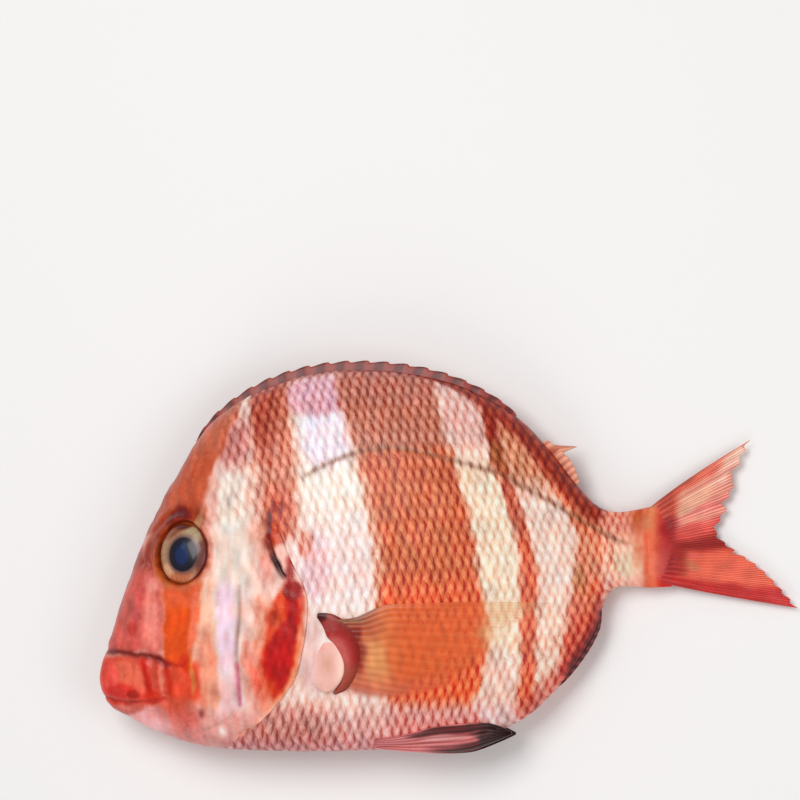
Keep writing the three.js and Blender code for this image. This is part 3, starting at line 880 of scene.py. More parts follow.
    def mouth(self, paint: Paint, x: Array, y: Array) -> None:
        """Lips, jaw plates, chin and throat, with painted shade in the mouth's slit, the lip's groove and the crease
        behind the jaw plate, and painted highlights on a jaw plate and on the throat.

        Args:
            paint: the layers.
            x, y: plan points, in mm.
        """
        paint.lay((1 - ramp(x, 30, 35)) * window(y, -16, 9.5, 1.6), (226, 76, 58))
        paint.lay((1 - ramp(x, 28, 34)) * (1 - ramp(y, -11, -9.6)), (226, 112, 96))
        paint.lay(blob(x, y, (16, 2.6), (7.5, 5.4), -8) * 0.9, (238, 112, 84))
        paint.lay(blob(x, y, (22, -1.6), (3.0, 4.6), -10) * 0.8, (244, 114, 90))
        paint.lay(blob(x, y, (8, 0), (3.6, 6)) * 0.6, (240, 88, 80))
        paint.lay(blob(x, y, (11, -5.4), (9, 3.2)) * 0.8, (222, 50, 42))
        # Painted shade in the mouth's slit: a dark spot, then a dark line along the slit.
        paint.lay(blob(x, y, (17.6, -6.4), (3.2, 1.9), 6) * 0.7, (160, 34, 24))
        paint.lay(bell(stroke(x, y, RELIEF.mouth), 0, 0.8) * 0.5, (150, 36, 30))
        paint.lay(bell(stroke(x, y, ((23.5, 7), (25, 1), (26.4, -6.5))), 0, 1.4) * 0.85, (190, 30, 18))
        paint.lay(blob(x, y, (28.6, 1.0), (1.5, 6.5), 6) * 0.7, (196, 78, 58))
        # Painted highlight: a pale strip on the rear jaw plate.
        paint.lay(blob(x, y, (31.6, 0.2), (1.1, 4.8), 4) * 0.8, (248, 140, 112))
        # Painted shade in the crease behind the jaw plate.
        paint.lay(bell(stroke(x, y, ((33.6, 5.5), (34.8, 0), (35, -6))), 0, 1.9) * 0.7, (186, 34, 18))
        paint.lay(blob(x, y, (28, -7.4), (5, 2.0)) * 0.6, (206, 40, 24))
        # Painted shade: a dark line in the upper lip's groove and a painted shadow under the lip beside it, running on
        # to x = 43 mm.
        groove = stroke(x, y, ((4, 11.6), (12, 11.2), (20, 9.7), (26, 9.2), (31, 7.6), (35, 5.6)))
        paint.lay(bell(groove, 0, 1.3) * 0.9, (112, 30, 26))
        paint.lay(bell(groove, -1.6, 2.2) * window(y, 4, 10, 2) * 0.35, (150, 40, 30))
        paint.lay(bell(stroke(x, y, ((33, 6.2), (38, 5.4), (43, 5.6))), 0, 1.0) * 0.55, (176, 36, 16))
        line = line_y(x, *CHIN_LINE)
        jaw = ramp(x, 29, 38)
        chin = (1 - ramp(y, line - 1.8 - 4 * jaw, line + 0.8 - jaw)) * (1 - ramp(x, 45, 57))
        paint.lay(chin, (244, 160, 152))
        paint.lay(chin * window(x, 16, 33, 3) * (1 - ramp(y, -13, -10)), (248, 176, 176))
        paint.lay(chin * (1 - ramp(y, -25, -18)) * ramp(x, 24, 34) * 0.7, (212, 130, 124))
        paint.lay(chin * blob(x, y, (9, -11), (9, 4)) * 0.85, (206, 84, 72))
        paint.lay(bell(stroke(x, y, CHIN_LINE[1:4]), 0, 1.2) * 0.5, (186, 66, 52))
        paint.lay(bell(ellipse(x, y, (38, -11.5), (8.5, 5)), 0, 1) * 0.95, (204, 70, 44))
        paint.lay(bell(ellipse(x, y, (41.5, -16.5), (6, 5), -40), 0, 1) * 0.75, (206, 84, 72))
        throat = ramp(x, 46, 54) * (1 - ramp(y, -18, -11)) * (1 - ramp(x, 88, 96))
        paint.lay(throat, (232, 164, 154))
        paint.lay(throat * (1 - ramp(y, -27, -20)) * 0.8, (206, 130, 126))
        paint.lay(bell(np.hypot(x - 48.6, y + 14.6), 0, 1.5) * 0.85, (140, 62, 58))
        # Painted highlight: a bright spot on the throat.
        paint.lay(bell(np.hypot(x - 56.6, y + 21.8), 0, 2.0), (252, 236, 230))

    def gill(self, paint: Paint, x: Array, y: Array) -> None:
        """The crimson edge of the gill cover, its tan rim and the red notch above it, with painted shade in the slits
        at its top.

        Args:
            paint: the layers.
            x, y: plan points, in mm.
        """
        outer = line_x(y, (90, 40), (95.5, 36), (96.6, 30), (95.6, 20), (94.2, 10), (91.6, 1), (86.5, -6), (82, -11))
        inner = ((88.5, 39), (86, 34.5), (82, 30), (79.8, 24), (79.5, 18), (77.6, 10), (76.4, 4), (77.5, -3), (81, -11))
        inner = line_x(y, *inner)
        shape = window(x, inner, outer, 1.6) * window(y, -9, 38, 2.5)
        paint.lay(shape, (226, 80, 46))
        depth = line_x(y, (88, 38), (87.5, 34), (89, 30), (89, 24), (84, 18), (79, 12), (77.5, 6), (79, -1), (83, -10))
        paint.lay(window(x, depth, outer - 2, 1.8) * window(y, -9, 38, 3), (192, 16, 0))
        paint.lay(blob(x, y, (91.6, 35), (4.2, 4)) * 0.85, (140, 6, 4))
        paint.lay(blob(x, y, (91.2, 21), (1.6, 8), 4) * 0.7, (156, 8, 4))
        paint.lay(blob(x, y, (82.6, 24), (1.6, 3.2)) * 0.7, (172, 44, 22))
        paint.lay(bell(ellipse(x, y, (80.5, -4.5), (3, 4)), 0, 1) * 0.8, (228, 84, 48))
        rim = line_x(y, (95.6, 22), (94.6, 14), (93.2, 6), (90.4, -1), (86, -7), (80.5, -12.5), (73, -18.5), (63, -25))
        paint.lay(bell(x, rim - 0.6, 1.5) * window(y, -26, 20, 3) * 0.85, (238, 146, 104))
        paint.lay(bell(x, rim - 0.4, 1.4) * window(y, -26, -11, 1.5) * 0.8, (244, 178, 160))
        notch = window(x, 81, 90, 1.6) * window(y, 53, 66, 2.5)
        paint.lay(notch * 0.9, (204, 62, 26))
        paint.lay(blob(x, y, (84.5, 69), (3.4, 2.6)) * 0.8, (164, 46, 30))
        # Painted shade in the slits at the gill cover's top: dark red and near-black lines.
        slot = stroke(x, y, ((81.2, 66), (80.9, 58), (82.2, 51), (85, 45.4), (88, 41)))
        paint.lay(bell(slot, 0, 1.3) * 0.9, (104, 18, 14))
        paint.lay(bell(stroke(x, y, ((83.6, 48.6), (85.4, 44.6), (87, 42.2))), 0, 1.3), (44, 12, 14))
        paint.lay(blob(x, y, (86.6, 51), (2.4, 3.2)) * 0.9, (250, 196, 182))
        paint.lay(blob(x, y, (87.9, 46), (1.0, 4.4), 4) * 0.9, (250, 196, 182))
        # Painted shade in the slot above the gill cover's edge.
        paint.lay(bell(stroke(x, y, ((91.2, 50), (90.6, 46), (90.4, 39))), 0, 1.5) * 0.9, (158, 18, 14))

    def orbit(self, paint: Paint, x: Array, y: Array) -> None:
        """The eye's surround: a dark red shadow above and ahead, and an orange-brown rim below.

        Args:
            paint: the layers.
            x, y: plan points, in mm.
        """
        round_eye = ellipse(x, y, RELIEF.orbit, RELIEF.orbit_radii)
        ahead = ramp(y - 0.5 * (x - 41), 52, 62)
        paint.lay((1 - ramp(round_eye, 1.06, 1.3)) * 0.7, (214, 110, 76))
        paint.lay((1 - ramp(round_eye, 1.1, 1.6)) * ahead * 0.85, (142, 42, 22))
        paint.lay(blob(x, y, (40, 65.5), (6, 5)) * 0.85, (104, 18, 4))
        paint.lay((1 - ramp(round_eye, 0.98, 1.1)) * 0.9 * (1 - 0.5 * ahead), (176, 76, 34))
        paint.lay(bell(round_eye, 1.02, 0.07) * window(x, 20, 38, 3) * (1 - ahead) * 0.6, (196, 100, 46))
        paint.lay((1 - ramp(round_eye, 1.0, 1.1)) * ramp(x, 47, 53) * (1 - ramp(y, 54, 60)) * 0.9, (112, 34, 32))
        paint.lay(blob(x, y, (49.5, 64), (1.6, 5), -20) * 0.7, (190, 150, 108))
        paint.lay(1 - ramp(round_eye, 0.88, 0.97), (92, 40, 26))
        paint.lay(bell(ellipse(x, y, (23.8, 47.6), (5.0, 3.6), 15), 0, 0.9) * 0.3, (136, 48, 42))

    def light_and_shade(self, grid: "SkinGrid") -> tuple[Array, Array]:
        """The skin's two colours at each point: of a scale's face, and of the slit behind it, a painted shade where the
        overlapping scale's edge shades the next.

        The bands are partly taken at the middle of the scale that covers the point, so that their
        edges step along the scales, and the head's patches at a place moved by a smooth field. The
        slit's colour is the face's to the power 2.1, less where it is pale or dull. The sheen that
        the wet coat adds is taken off.

        Args:
            grid: the piece of skin, with its plan and lattice coordinates.

        Returns:
            Two arrays of linear colours: the face's, and the slit's painted shade.
        """
        x, y = grid.x, grid.y
        _, middle_a, middle_b = LATTICE.cells(grid.a, grid.b)
        stepped = x + (middle_a - grid.a) * grid.scaled
        stepped = stepped + 0.7 * wobble(x, y, 9, 11) + 0.8 * wobble(2 * x, 0.5 * y, 5, 12)
        paint = self.body(stepped, y)
        self.edges(paint, stepped, y, grid)
        head = Paint(paint.colour.copy())
        moved_x = x + wobble(x, y, 15, 31) + 0.7 * wobble(x, 0.6 * y, 5, 32)
        moved_y = y + wobble(x, y, 15, 33) + 0.8 * wobble(x, y, 6, 34)
        self.head(head, moved_x, moved_y, grid)
        near_x, near_y = x + 0.4 * wobble(x, y, 6, 35), y + 0.4 * wobble(x, y, 6, 36)
        self.mouth(head, near_x, near_y)
        self.gill(head, near_x, near_y)
        self.orbit(head, near_x, near_y)
        # Painted shade in the groove at the cheek's rear edge, strongest near y = 18 mm; its lower stretch is painted
        # purplish red as shade of the groove too.
        groove = bell(stroke(x, y, ((68, 37), (67.8, 26), (66.6, 14), (66.2, 4))), 0, 0.9)
        head.lay(groove * (0.45 + 0.3 * bell(y, 18, 7)), (150, 104, 104))
        head.lay(bell(stroke(x, y, ((66.4, 5), (66.3, -3), (66.2, -11))), 0, 1.0) * 0.7, (200, 78, 108))
        paint.lay(grid.head, head.colour)
        line = stroke(x, y, RELIEF.lateral)
        paint.lay(bell(line, 0, 1.2) * window(x, 96, 223, 4) * 0.62, (142, 88, 66))
        blotch = 0.05 * wobble(x, 0.5 * y, 6, 51) + 0.04 * wobble(x, y, 17, 52)
        uneven = 0.05 * wobble(middle_a * 7.3, middle_b * 5.1, 9, 53) * grid.scaled
        warm = 0.05 * wobble(x, y, 10, 54)
        streak = 0.05 * wobble(2.2 * x, 0.4 * y, 6, 55) + 0.04 * wobble(1.6 * x, 0.5 * y, 4.4, 56)
        blotch = blotch + grid.head * 0.05 * wobble(1.4 * x, 0.8 * y, 8, 57)
        tint = 1 + (blotch + uneven)[..., None] + warm[..., None] * np.array([0.2, -0.6, -1.0])
        tint += streak[..., None] * np.array([-0.1, -0.8, -1.0])
        colour = np.clip(paint.colour * tint, 0, 255)
        paleness = ramp(colour.min(-1, keepdims=True), 120, 215)
        dullness = 1 - ramp(colour.max(-1, keepdims=True), 140, 235)
        # The slit's painted shade: a darker copy of the face's colour.
        dark = 255 * (colour / 255) ** (self.shade_power - 0.8 * paleness - 0.7 * dullness) * self.shade_gain
        return tuple(np.maximum(linear(coat) - self.sheen, 0.003) for coat in (colour, dark))


CHIN_LINE: Points = ((-3, -6), (4, -10.2), (14, -13.8), (22, -11.2), (33, -9.6), (46, -10.4), (60, -13))


def gill_boundary() -> tuple[Array, Array]:
    """The head's rear boundary as -y against x, from the nape over the gill edge to the throat.

    Returns:
        -y, rising, and the x at each.
    """
    line = Curve2(HEAD_EDGE).line
    order = np.argsort(-line[:, 1])
    return -line[order, 1], line[order, 0]


HEAD_EDGE: Points = (
    (66, 118.5), (70, 106), (74, 92), (78.5, 76), (82.5, 65), (86.5, 56), (90.5, 46), (95, 38), (97.2, 30), (96.4, 20),
    (94.4, 10), (91, 0), (84, -9), (73, -18.5), (60, -26), (54, -28.7),
)
GILL_BOUNDARY = gill_boundary()
PIGMENT = SkinPigment()


# Materials


@dataclass(frozen=True)
class Val:
    """A number in a shader, with Python's operators as Math nodes."""

    graph: "Graph"
    socket: Any

    def math(self, operation: str, *operands: "Val | float") -> "Val":
        """A Math node on the operands."""
        made = self.graph.node("ShaderNodeMath", dict(enumerate(operands)), operation=operation)
        return Val(self.graph, made.outputs[0])

    def __add__(self, other: "Val | float") -> "Val":
        """self + other."""
        return self.math("ADD", self, other)

    def __sub__(self, other: "Val | float") -> "Val":
        """self - other."""
        return self.math("SUBTRACT", self, other)

    def __rsub__(self, other: float) -> "Val":
        """other - self."""
        return self.math("SUBTRACT", other, self)

    def __mul__(self, other: "Val | float") -> "Val":
        """self * other."""
        return self.math("MULTIPLY", self, other)

    __radd__, __rmul__ = __add__, __mul__

    def floor(self) -> "Val":
        """The whole number below."""
        return self.math("FLOOR", self)

    def fract(self) -> "Val":
        """What is above the whole number below."""
        return self.math("FRACT", self)

    def wave(self, pace: float) -> "Val":
        """sin(pace * self)."""
        return self.math("SINE", self * pace)

    def ramp(self, low: float, high: float) -> "Val":
        """A smooth step from 0 at low to 1 at high.

        Args:
            low, high: what gives 0 and 1.

        Returns:
            The step's value.
        """
        sockets = {"Value": self, "From Min": low, "From Max": high}
        made = self.graph.node("ShaderNodeMapRange", sockets, interpolation_type="SMOOTHSTEP")
        return Val(self.graph, made.outputs[0])


class Graph:
    """The node tree of one material."""

    def __init__(self, name: str) -> None:
        """Start an empty material.

        Args:
            name: the material's name.
        """
        self.material = bpy.data.materials.new(name)
        self.material.use_nodes = True
        self.material.node_tree.nodes.clear()

    def node(self, kind: str, sockets: dict[Any, Any] | None = None, **settings: Any) -> bpy.types.Node:
        """Add a node: its settings first, then its sockets, each linked or given a value.

        Args:
            kind: the node's type.
            sockets: values or links, by the socket's name or number.
            **settings: the node's own settings.

        Returns:
            The node.
        """
        made = self.material.node_tree.nodes.new(kind)
        for name, value in settings.items():
            setattr(made, name, value)
        for key, value in (sockets or {}).items():
            if isinstance(value, Val):
                self.material.node_tree.links.new(value.socket, made.inputs[key])
            else:
                made.inputs[key].default_value = value
        return made

    def attribute(self, name: str, output: str = "Fac") -> Val:
        """A mesh attribute by name, as a number or a colour."""
        return Val(self, self.node("ShaderNodeAttribute", attribute_name=name).outputs[output])

    def lattice(self) -> tuple[Val, Val]:
        """The two coordinates of the piece's UV map.

        Returns:
            The lattice coordinates a and b.
        """
        uv = Val(self, self.node("ShaderNodeUVMap", uv_map="lattice").outputs["UV"])
        parts = self.node("ShaderNodeSeparateXYZ", {0: uv})
        return Val(self, parts.outputs[0]), Val(self, parts.outputs[1])

    def noise(self, scale: float, detail: float = 3.0) -> Val:
        """A noise of about scale cells a metre, in the object's coordinates.

        Args:
            scale: cells for each metre.
            detail: how many finer layers it has.

        Returns:
            The noise, from 0 to 1.
        """
        place = Val(self, self.node("ShaderNodeTexCoord").outputs["Object"])
        made = self.node("ShaderNodeTexNoise", {"Vector": place, "Scale": scale, "Detail": detail})
        return Val(self, made.outputs["Fac"])

    def mix(self, share: Val | float, one: Any, other: Any) -> Val:
        """Two colours mixed by share."""
        made = self.node("ShaderNodeMix", {0: share, 6: one, 7: other}, data_type="RGBA", clamp_factor=True)
        return Val(self, made.outputs[2])

    def vector(self, operation: str, sockets: dict[Any, Any]) -> Val:
        """A Vector Math node on colours."""
        return Val(self, self.node("ShaderNodeVectorMath", sockets, operation=operation).outputs[0])

    def bump(self, height: Val, distance: float, strength: float = 1.0) -> Val:
        """A bumped normal."""
        sockets = {"Height": height, "Distance": distance, "Strength": strength}
        return Val(self, self.node("ShaderNodeBump", sockets).outputs[0])

    def finish(self, **sockets: Any) -> bpy.types.Material:
        """Close the tree with a Principled shader, whose socket names are given with _ for spaces.

        Args:
            **sockets: values or links of the shader.

        Returns:
            The finished material.
        """
        named = {name.replace("_", " "): value for name, value in sockets.items()}
        shader = self.node("ShaderNodeBsdfPrincipled", named)
        self.node("ShaderNodeOutputMaterial", {"Surface": Val(self, shader.outputs[0])})
        return self.material


@dataclass(frozen=True)
class WetSkin:
    """Wet scaled skin: painted colours, with the slits and edges of the scales drawn by the lattice: painted shade in
    each slit and a painted highlight on each face.
    """

    name: str = "wet_skin"
    coat: float = 0.14
    roughness: tuple[float, float] = (0.26, 0.48)
    highlight_gamma: float = 0.74
    highlight_gain: float = 1.18
    highlight_cap: tuple[float, float, float] = (0.93, 0.9, 0.88)

    def material(self) -> bpy.types.Material:
        """The material, reading the attributes pigment, shade and scaled.

        With far the distance to a row of scales and off the distance to the middle of its scale, a
        face is 1 - 2 off - far and the slit behind it 1 - 4.2 (1/2 - off) - 1.05 far, and the
        greater value of the two nearest rows counts. Faces are mixed towards a brighter copy of the
        pigment, a painted highlight, and slits towards the shade colour, a painted shadow where the
        overlapping scale's edge shades the next.

        Returns:
            The material.
        """
        graph = Graph(self.name)
        a, b = graph.lattice()
        scaled = graph.attribute("scaled")
        faces, slits, low = [], [], b.floor()
        shifted = a + graph.noise(150, 2) * 0.8 - 0.4
        for row in (low, low + 1.0):
            offset = b - row
            far = offset.math("ABSOLUTE", offset)
            place = shifted - (row * 0.5).fract() + offset * offset * 0.3
            off = (place - 0.1).fract() - 0.5
            off = off.math("ABSOLUTE", off)
            faces.append(1.0 - off * 2.0 - far)
            slits.append(1.0 - (0.5 - off) * 4.2 - far * 1.05)
        face = faces[0].math("MAXIMUM", *faces)
        slit = slits[0].math("MAXIMUM", *slits)
        grain = graph.noise(330, 2)
        pigment = graph.attribute("pigment", "Color")
        # A brighter copy of the pigment: the painted highlight on each scale's face.
        pale = Val(graph, graph.node("ShaderNodeGamma", {"Color": pigment, "Gamma": self.highlight_gamma}).outputs[0])
        pale = graph.vector("SCALE", {0: pale, "Scale": self.highlight_gain})
        pale = graph.vector("MINIMUM", {0: pale, 1: self.highlight_cap})
        dark = graph.attribute("shade", "Color")
        # Painted highlight on the faces of the scales, then painted shade in the slits behind their edges.
        colour = graph.mix((face + grain * 0.6 - 0.3).ramp(0.2, 0.75) * scaled, pigment, pale)
        gap = (slit + grain * 0.9 - 0.45).ramp(0.0, 0.55) * 0.95
        colour = graph.mix(gap * scaled, colour, dark)
        # Random darker mottling, then random flecks of the brighter copy as painted wet glints.
        colour = graph.mix(graph.noise(420, 4).ramp(0.35, 0.75) * 0.3, colour, dark)
        colour = graph.mix(graph.noise(520, 3).ramp(0.55, 0.8) * 0.35, colour, pale)
        rough = graph.noise(260, 3) * (self.roughness[1] - self.roughness[0]) + self.roughness[0]
        height = (face.ramp(0.0, 0.8) * 0.3 - slit.ramp(0.1, 0.6) * 0.25) * scaled
        height = height + graph.noise(900, 3) * 0.3 + graph.noise(190, 2) * 0.5
        return graph.finish(
            Base_Color=colour, Roughness=rough, Normal=graph.bump(height, 0.0005, 0.7), Coat_Weight=self.coat,
            Coat_Roughness=0.12, Specular_IOR_Level=0.24, Subsurface_Weight=0.05, Subsurface_Scale=0.003,
        )


@dataclass(frozen=True)
class FinMembrane:
    """A fin: rays as ridges along the UV map's second coordinate, membrane between them."""

    name: str
    roughness: float = 0.38
    coat: float = 0.15
    ridge: float = 0.0002

    def material(self) -> bpy.types.Material:
        """The material, reading the attributes pigment, shade and cover.

        Returns:
            The material.
        """
        graph = Graph(self.name)
        across, along = graph.lattice()
        ray = across.wave(2 * math.pi) * 0.5 + 0.5
        joints = (along.wave(2 * math.pi) * 0.5 + 0.5).ramp(0.75, 1.0)
        fleck = graph.noise(700, 3)
        light, dark = graph.attribute("pigment", "Color"), graph.attribute("shade", "Color")
        colour = graph.mix(ray.ramp(0.25, 0.95) * 0.85, light, dark)
        colour = graph.mix(fleck.ramp(0.4, 0.8) * 0.22, colour, dark)
        height = (1.0 - ray) * 0.8 + fleck * 0.4 - joints * 0.12
        return graph.finish(
            Base_Color=colour, Roughness=self.roughness, Normal=graph.bump(height, self.ridge, 0.8),
            Alpha=graph.attribute("cover"), Coat_Weight=self.coat, Coat_Roughness=0.15, Specular_IOR_Level=0.35,
        )


@dataclass(frozen=True)
class EyeGloss:
    """The eyeball: painted by its attribute pigment, under a clear wet coat."""

    name: str = "eye_gloss"

    def material(self) -> bpy.types.Material:
        """The material, glossy enough to mirror the lights.

        Returns:
            The material.
        """
        graph = Graph(self.name)
        fleck = graph.noise(1500, 3).ramp(0.35, 0.75)
        colour = graph.mix(fleck * 0.25, graph.attribute("pigment", "Color"), (0.02, 0.015, 0.012, 1))
        return graph.finish(Base_Color=colour, Roughness=0.3, Coat_Weight=0.32, Coat_Roughness=0.1, IOR=1.38)


# The pieces of skin


@dataclass
class SkinGrid:
    """A piece of the skin as a ring grid, with what its paint and relief need at each point."""

    s: Array
    t: Array
    side: Array
    free: Array
    is_head: bool
    points: Array = field(init=False)

    def __post_init__(self) -> None:
        """Lay the smooth form and its coordinates."""
        self.points = FORM.skin(self.s, self.t, self.side)
        self.x, self.y = self.points[..., 0], self.points[..., 1]
        self.a, self.b = LATTICE.along(self.x, self.y), LATTICE.across(self.s, self.t, self.x)
        depth = np.linalg.norm(FORM.back.at(self.s) - FORM.belly.at(self.s), axis=-1)
        self.off_back, self.off_belly = depth * (1 - self.t) / 2, depth * (1 + self.t) / 2
        edge = np.interp(-self.y, *GILL_BOUNDARY)
        joined = 1 - ramp(self.x, edge - 2, edge + 2)
        self.head = np.maximum(joined, self.free) if self.is_head else joined * (1 - self.free)
        nape = ramp(self.x - 0.1 * (self.y - 80), 52, 62) * ramp(self.y, 56, 68)
        cover = window(self.x, 70, 110, 3) * window(self.y, -12, 62, 5) * 0.3
        on_body = 1 - ramp(self.x, 216, 230)
        on_body *= 1 - 0.85 * blob(self.x, self.y, (102, 9), (13, 17))
        self.scaled = np.maximum(nape * 0.9, cover) * self.head + on_body * (1 - self.head)

    def relief(self) -> Array:
        """The relief of face, side line and scales, in mm outward.

        Returns:
            Heights on the grid.
        """
        depth, _, _ = LATTICE.cells(self.a, self.b)
        flank = ramp(1 - np.abs(self.t), 0, 0.03) * (self.side > 0)
        return RELIEF.height(self.x, self.y) + LATTICE.lift * (1 - depth) * self.scaled * (0.25 + 0.75 * flank)

    def tube(self, name: str, points: Array, first: Cap, last: Cap) -> Tube:
        """The piece, with its grid's colours, and any rows beyond the grid dressed like its last row.

        Args:
            name: the piece's name.
            points: its points, by row and column.
            first, last: how its front and rear ends are shut.

        Returns:
            The tube, ready to build.
        """
        more = ((0, len(points) - len(self.s)), (0, 0))
        light, shade = PIGMENT.light_and_shade(self)
        uv = np.stack([self.a, self.b], -1)
        wide = (*more, (0, 0))
        return Tube(
            name, np.maximum(points, (-1000, -1000, 0.05)), first, last, np.pad(uv, wide, "edge"),
            {"pigment": np.pad(light, wide, "edge"), "shade": np.pad(shade, wide, "edge")},
            {"scaled": np.pad(self.scaled, more, "edge")},
        )


@dataclass(frozen=True)
class HeadEdge:
    """Where the head's skin ends: under the body's skin at nape and throat, over it at the gill cover."""

    gill: tuple[float, float] = (-21.0, 60.0)
    overlap: float = 7.0

    def at(self, t: Array) -> tuple[Array, Array, Array]:
        """The edge's s at each t, how far it is the gill cover's free edge, and mm for each unit of s.

        Args:
            t: places across the flank.

        Returns:
            All three, for each t.
        """
        line = Curve2(tuple(HEAD_EDGE)).line[::8]
        s, place = FORM.locate(line[:, 0], line[:, 1])
        order = np.argsort(place)
        edge = np.interp(t, place[order], s[order])
        spot = FORM.skin(edge, t, 1)
        pace = np.linalg.norm(FORM.skin(edge + 0.01, t, 1) - FORM.skin(edge - 0.01, t, 1), axis=-1) / 0.02
        return edge, window(spot[:, 1], *self.gill, 4), pace


HEAD_RIM = HeadEdge()


@dataclass(frozen=True)
class HeadSkin:
    """The head with its gill covers, whose free edges are rolled and turned under."""

    rows: int = 205
    columns: tuple[int, int] = (250, 120)
    lift: float = 0.9
    roll: float = 0.45

    def build(self) -> bpy.types.Object:
        """Rows of s in shares of the edge's s; then the lip's half circle; then rows that dive inwards.

        Returns:
            The object.
        """
        t, side = around(*self.columns)
        edge, free, _ = HEAD_RIM.at(t)
        share = np.linspace(0, 1, self.rows + 1)[1:, None] ** 1.25
        t, side, free = (np.broadcast_to(row, (self.rows, len(edge))) for row in (t, side, free))
        grid = SkinGrid(share * edge, t, side, free, True)
        out = normals(grid.points)
        step = np.linalg.norm(np.diff(grid.points, axis=0), axis=-1)
        left = np.concatenate([np.cumsum(step[::-1], 0)[::-1], np.zeros((1, len(edge)))])
        half = HEAD_RIM.overlap / 2
        height = grid.relief() + free * self.lift * (1 - ramp(left, 2, 22))
        height = height - (1 - free) * 1.3 * (1 - ramp(left, 0, half))
        skin = grid.points + out * height[..., None]
        tailward = grid.points[-1] - grid.points[-2]
        tailward /= np.linalg.norm(tailward, axis=-1, keepdims=True)
        radius = (0.05 + self.roll * free[-1])[:, None]
        angle = np.linspace(0, math.pi, 9)[1:, None, None]
        lip = skin[-1] + radius * (np.sin(angle) * tailward - (1 - np.cos(angle)) * out[-1])
        inward = np.linspace(0, 1, 7)[1:, None, None]
        under = lip[-1] - inward * (9 * tailward + (2.6 + 0.5 * free[-1][:, None]) * out[-1])
        rows = np.concatenate([skin, lip, under])
        return grid.tube("head_skin", rows, Cap.FAN, Cap.OPEN).build()


@dataclass(frozen=True)
class BodySkin:
    """The scaled body from under the gill covers to the fleshy root of the tail fin."""

    rows: int = 262
    columns: tuple[int, int] = (240, 110)
    sheath: float = 10.5

    def build(self) -> bpy.types.Object:
        """Rows of s from the head's edge to 1, then a sheath that thins over the tail fin's rays.

        Returns:
            The object.
        """
        t, side = around(*self.columns)
        edge, free, pace = HEAD_RIM.at(t)
        front = edge - (HEAD_RIM.overlap + 5 * free) / pace
        share = np.linspace(0, 1, self.rows)[:, None]
        t, side, free = (np.broadcast_to(row, (self.rows, len(edge))) for row in (t, side, free))
        grid = SkinGrid(front + (1 - front) * share, t, side, free, False)
        out = normals(grid.points)
        step = np.linalg.norm(np.diff(grid.points, axis=0), axis=-1)
        gone = np.concatenate([np.zeros((1, len(edge))), np.cumsum(step, 0)])
        height = grid.relief() * (1 - free * (1 - ramp(gone, 10, 15)))
        height -= (1 - free) * 1.3 * (1 - ramp(gone, 0, HEAD_RIM.overlap / 2)) + free * (1 - ramp(gone, 4, 11))
        skin = grid.points + out * height[..., None]
        v = np.linspace(0, 1, 25)[1:, None]
        last, across = skin[-1], t[-1]
        x = last[:, 0] + self.sheath * v * (1 - 0.25 * across**2)
        y = last[:, 1] + (2.65 + 3.15 * across) * across * v
        thin = (last[:, 2] - FORM.middle_height(last[:, 0])) * (0.08 + 0.92 * (1 - v) ** 1.3)
        rows = np.concatenate([skin, np.stack([x, y, FORM.middle_height(x) + thin], -1)])
        tube = grid.tube("body_skin", rows, Cap.OPEN, Cap.ZIP)
        paint = Paint.plain(x, (236, 144, 108))
        PIGMENT.rear_end(paint, x, y)
        tube.colours["pigment"][-len(x):] = linear(paint.colour) - PIGMENT.sheen
        tube.colours["shade"][-len(x):] = linear(paint.colour) ** 1.5
        return tube.build()


# The fins


def on_ray(u: Array, rays: int) -> Array:
    """1 on a ray and 0 midway between two rays: half of 1 + cos(2 pi rays u)."""
    return 0.5 + 0.5 * np.cos(2 * math.pi * rays * u)


def fin_grid(rows: int, columns: int) -> tuple[Array, Array]:
    """u across the fin and v along its rays, as grids."""
    v, u = np.meshgrid(np.linspace(0, 1, rows), np.linspace(0, 1, columns), indexing="ij")
    return u, v


def blunt(u: Array, v: Array) -> Array:
    """How thick a fin is near its side and rear edges, which are rounded: (1 - |2u-1|^14)(1 - v^16), rooted."""
    return 0.12 + 0.88 * np.sqrt(np.maximum((1 - np.abs(2 * u - 1) ** 14) * (1 - v**16), 0))


@dataclass
class Fin:
    """A thin fin as a ring across its top and back underneath."""

    name: str
    u: Array
    v: Array
    top: Array
    bottom: Array
    light: Array
    dark: Array
    cover: Array
    rays: float
    joints: float = 30.0

    def build(self) -> bpy.types.Object:
        """The fin with its colours and its UV map of (rays u - 1/4, joints v).

        Returns:
            The object.
        """
        uv = np.stack([self.rays * self.u - 0.25, self.joints * self.v], -1)
        points = flat_ring(self.top, self.bottom)
        points[..., 2] = np.maximum(points[..., 2], 0.05)
        colours = {"pigment": linear(self.light), "shade": linear(self.dark)}
        tube = Tube(self.name, points, Cap.ZIP, Cap.ZIP, flat_ring(uv, uv))
        tube.colours = {name: flat_ring(grid, grid) for name, grid in colours.items()}
        tube.values = {"cover": flat_ring(self.cover, self.cover)}
        return tube.build()


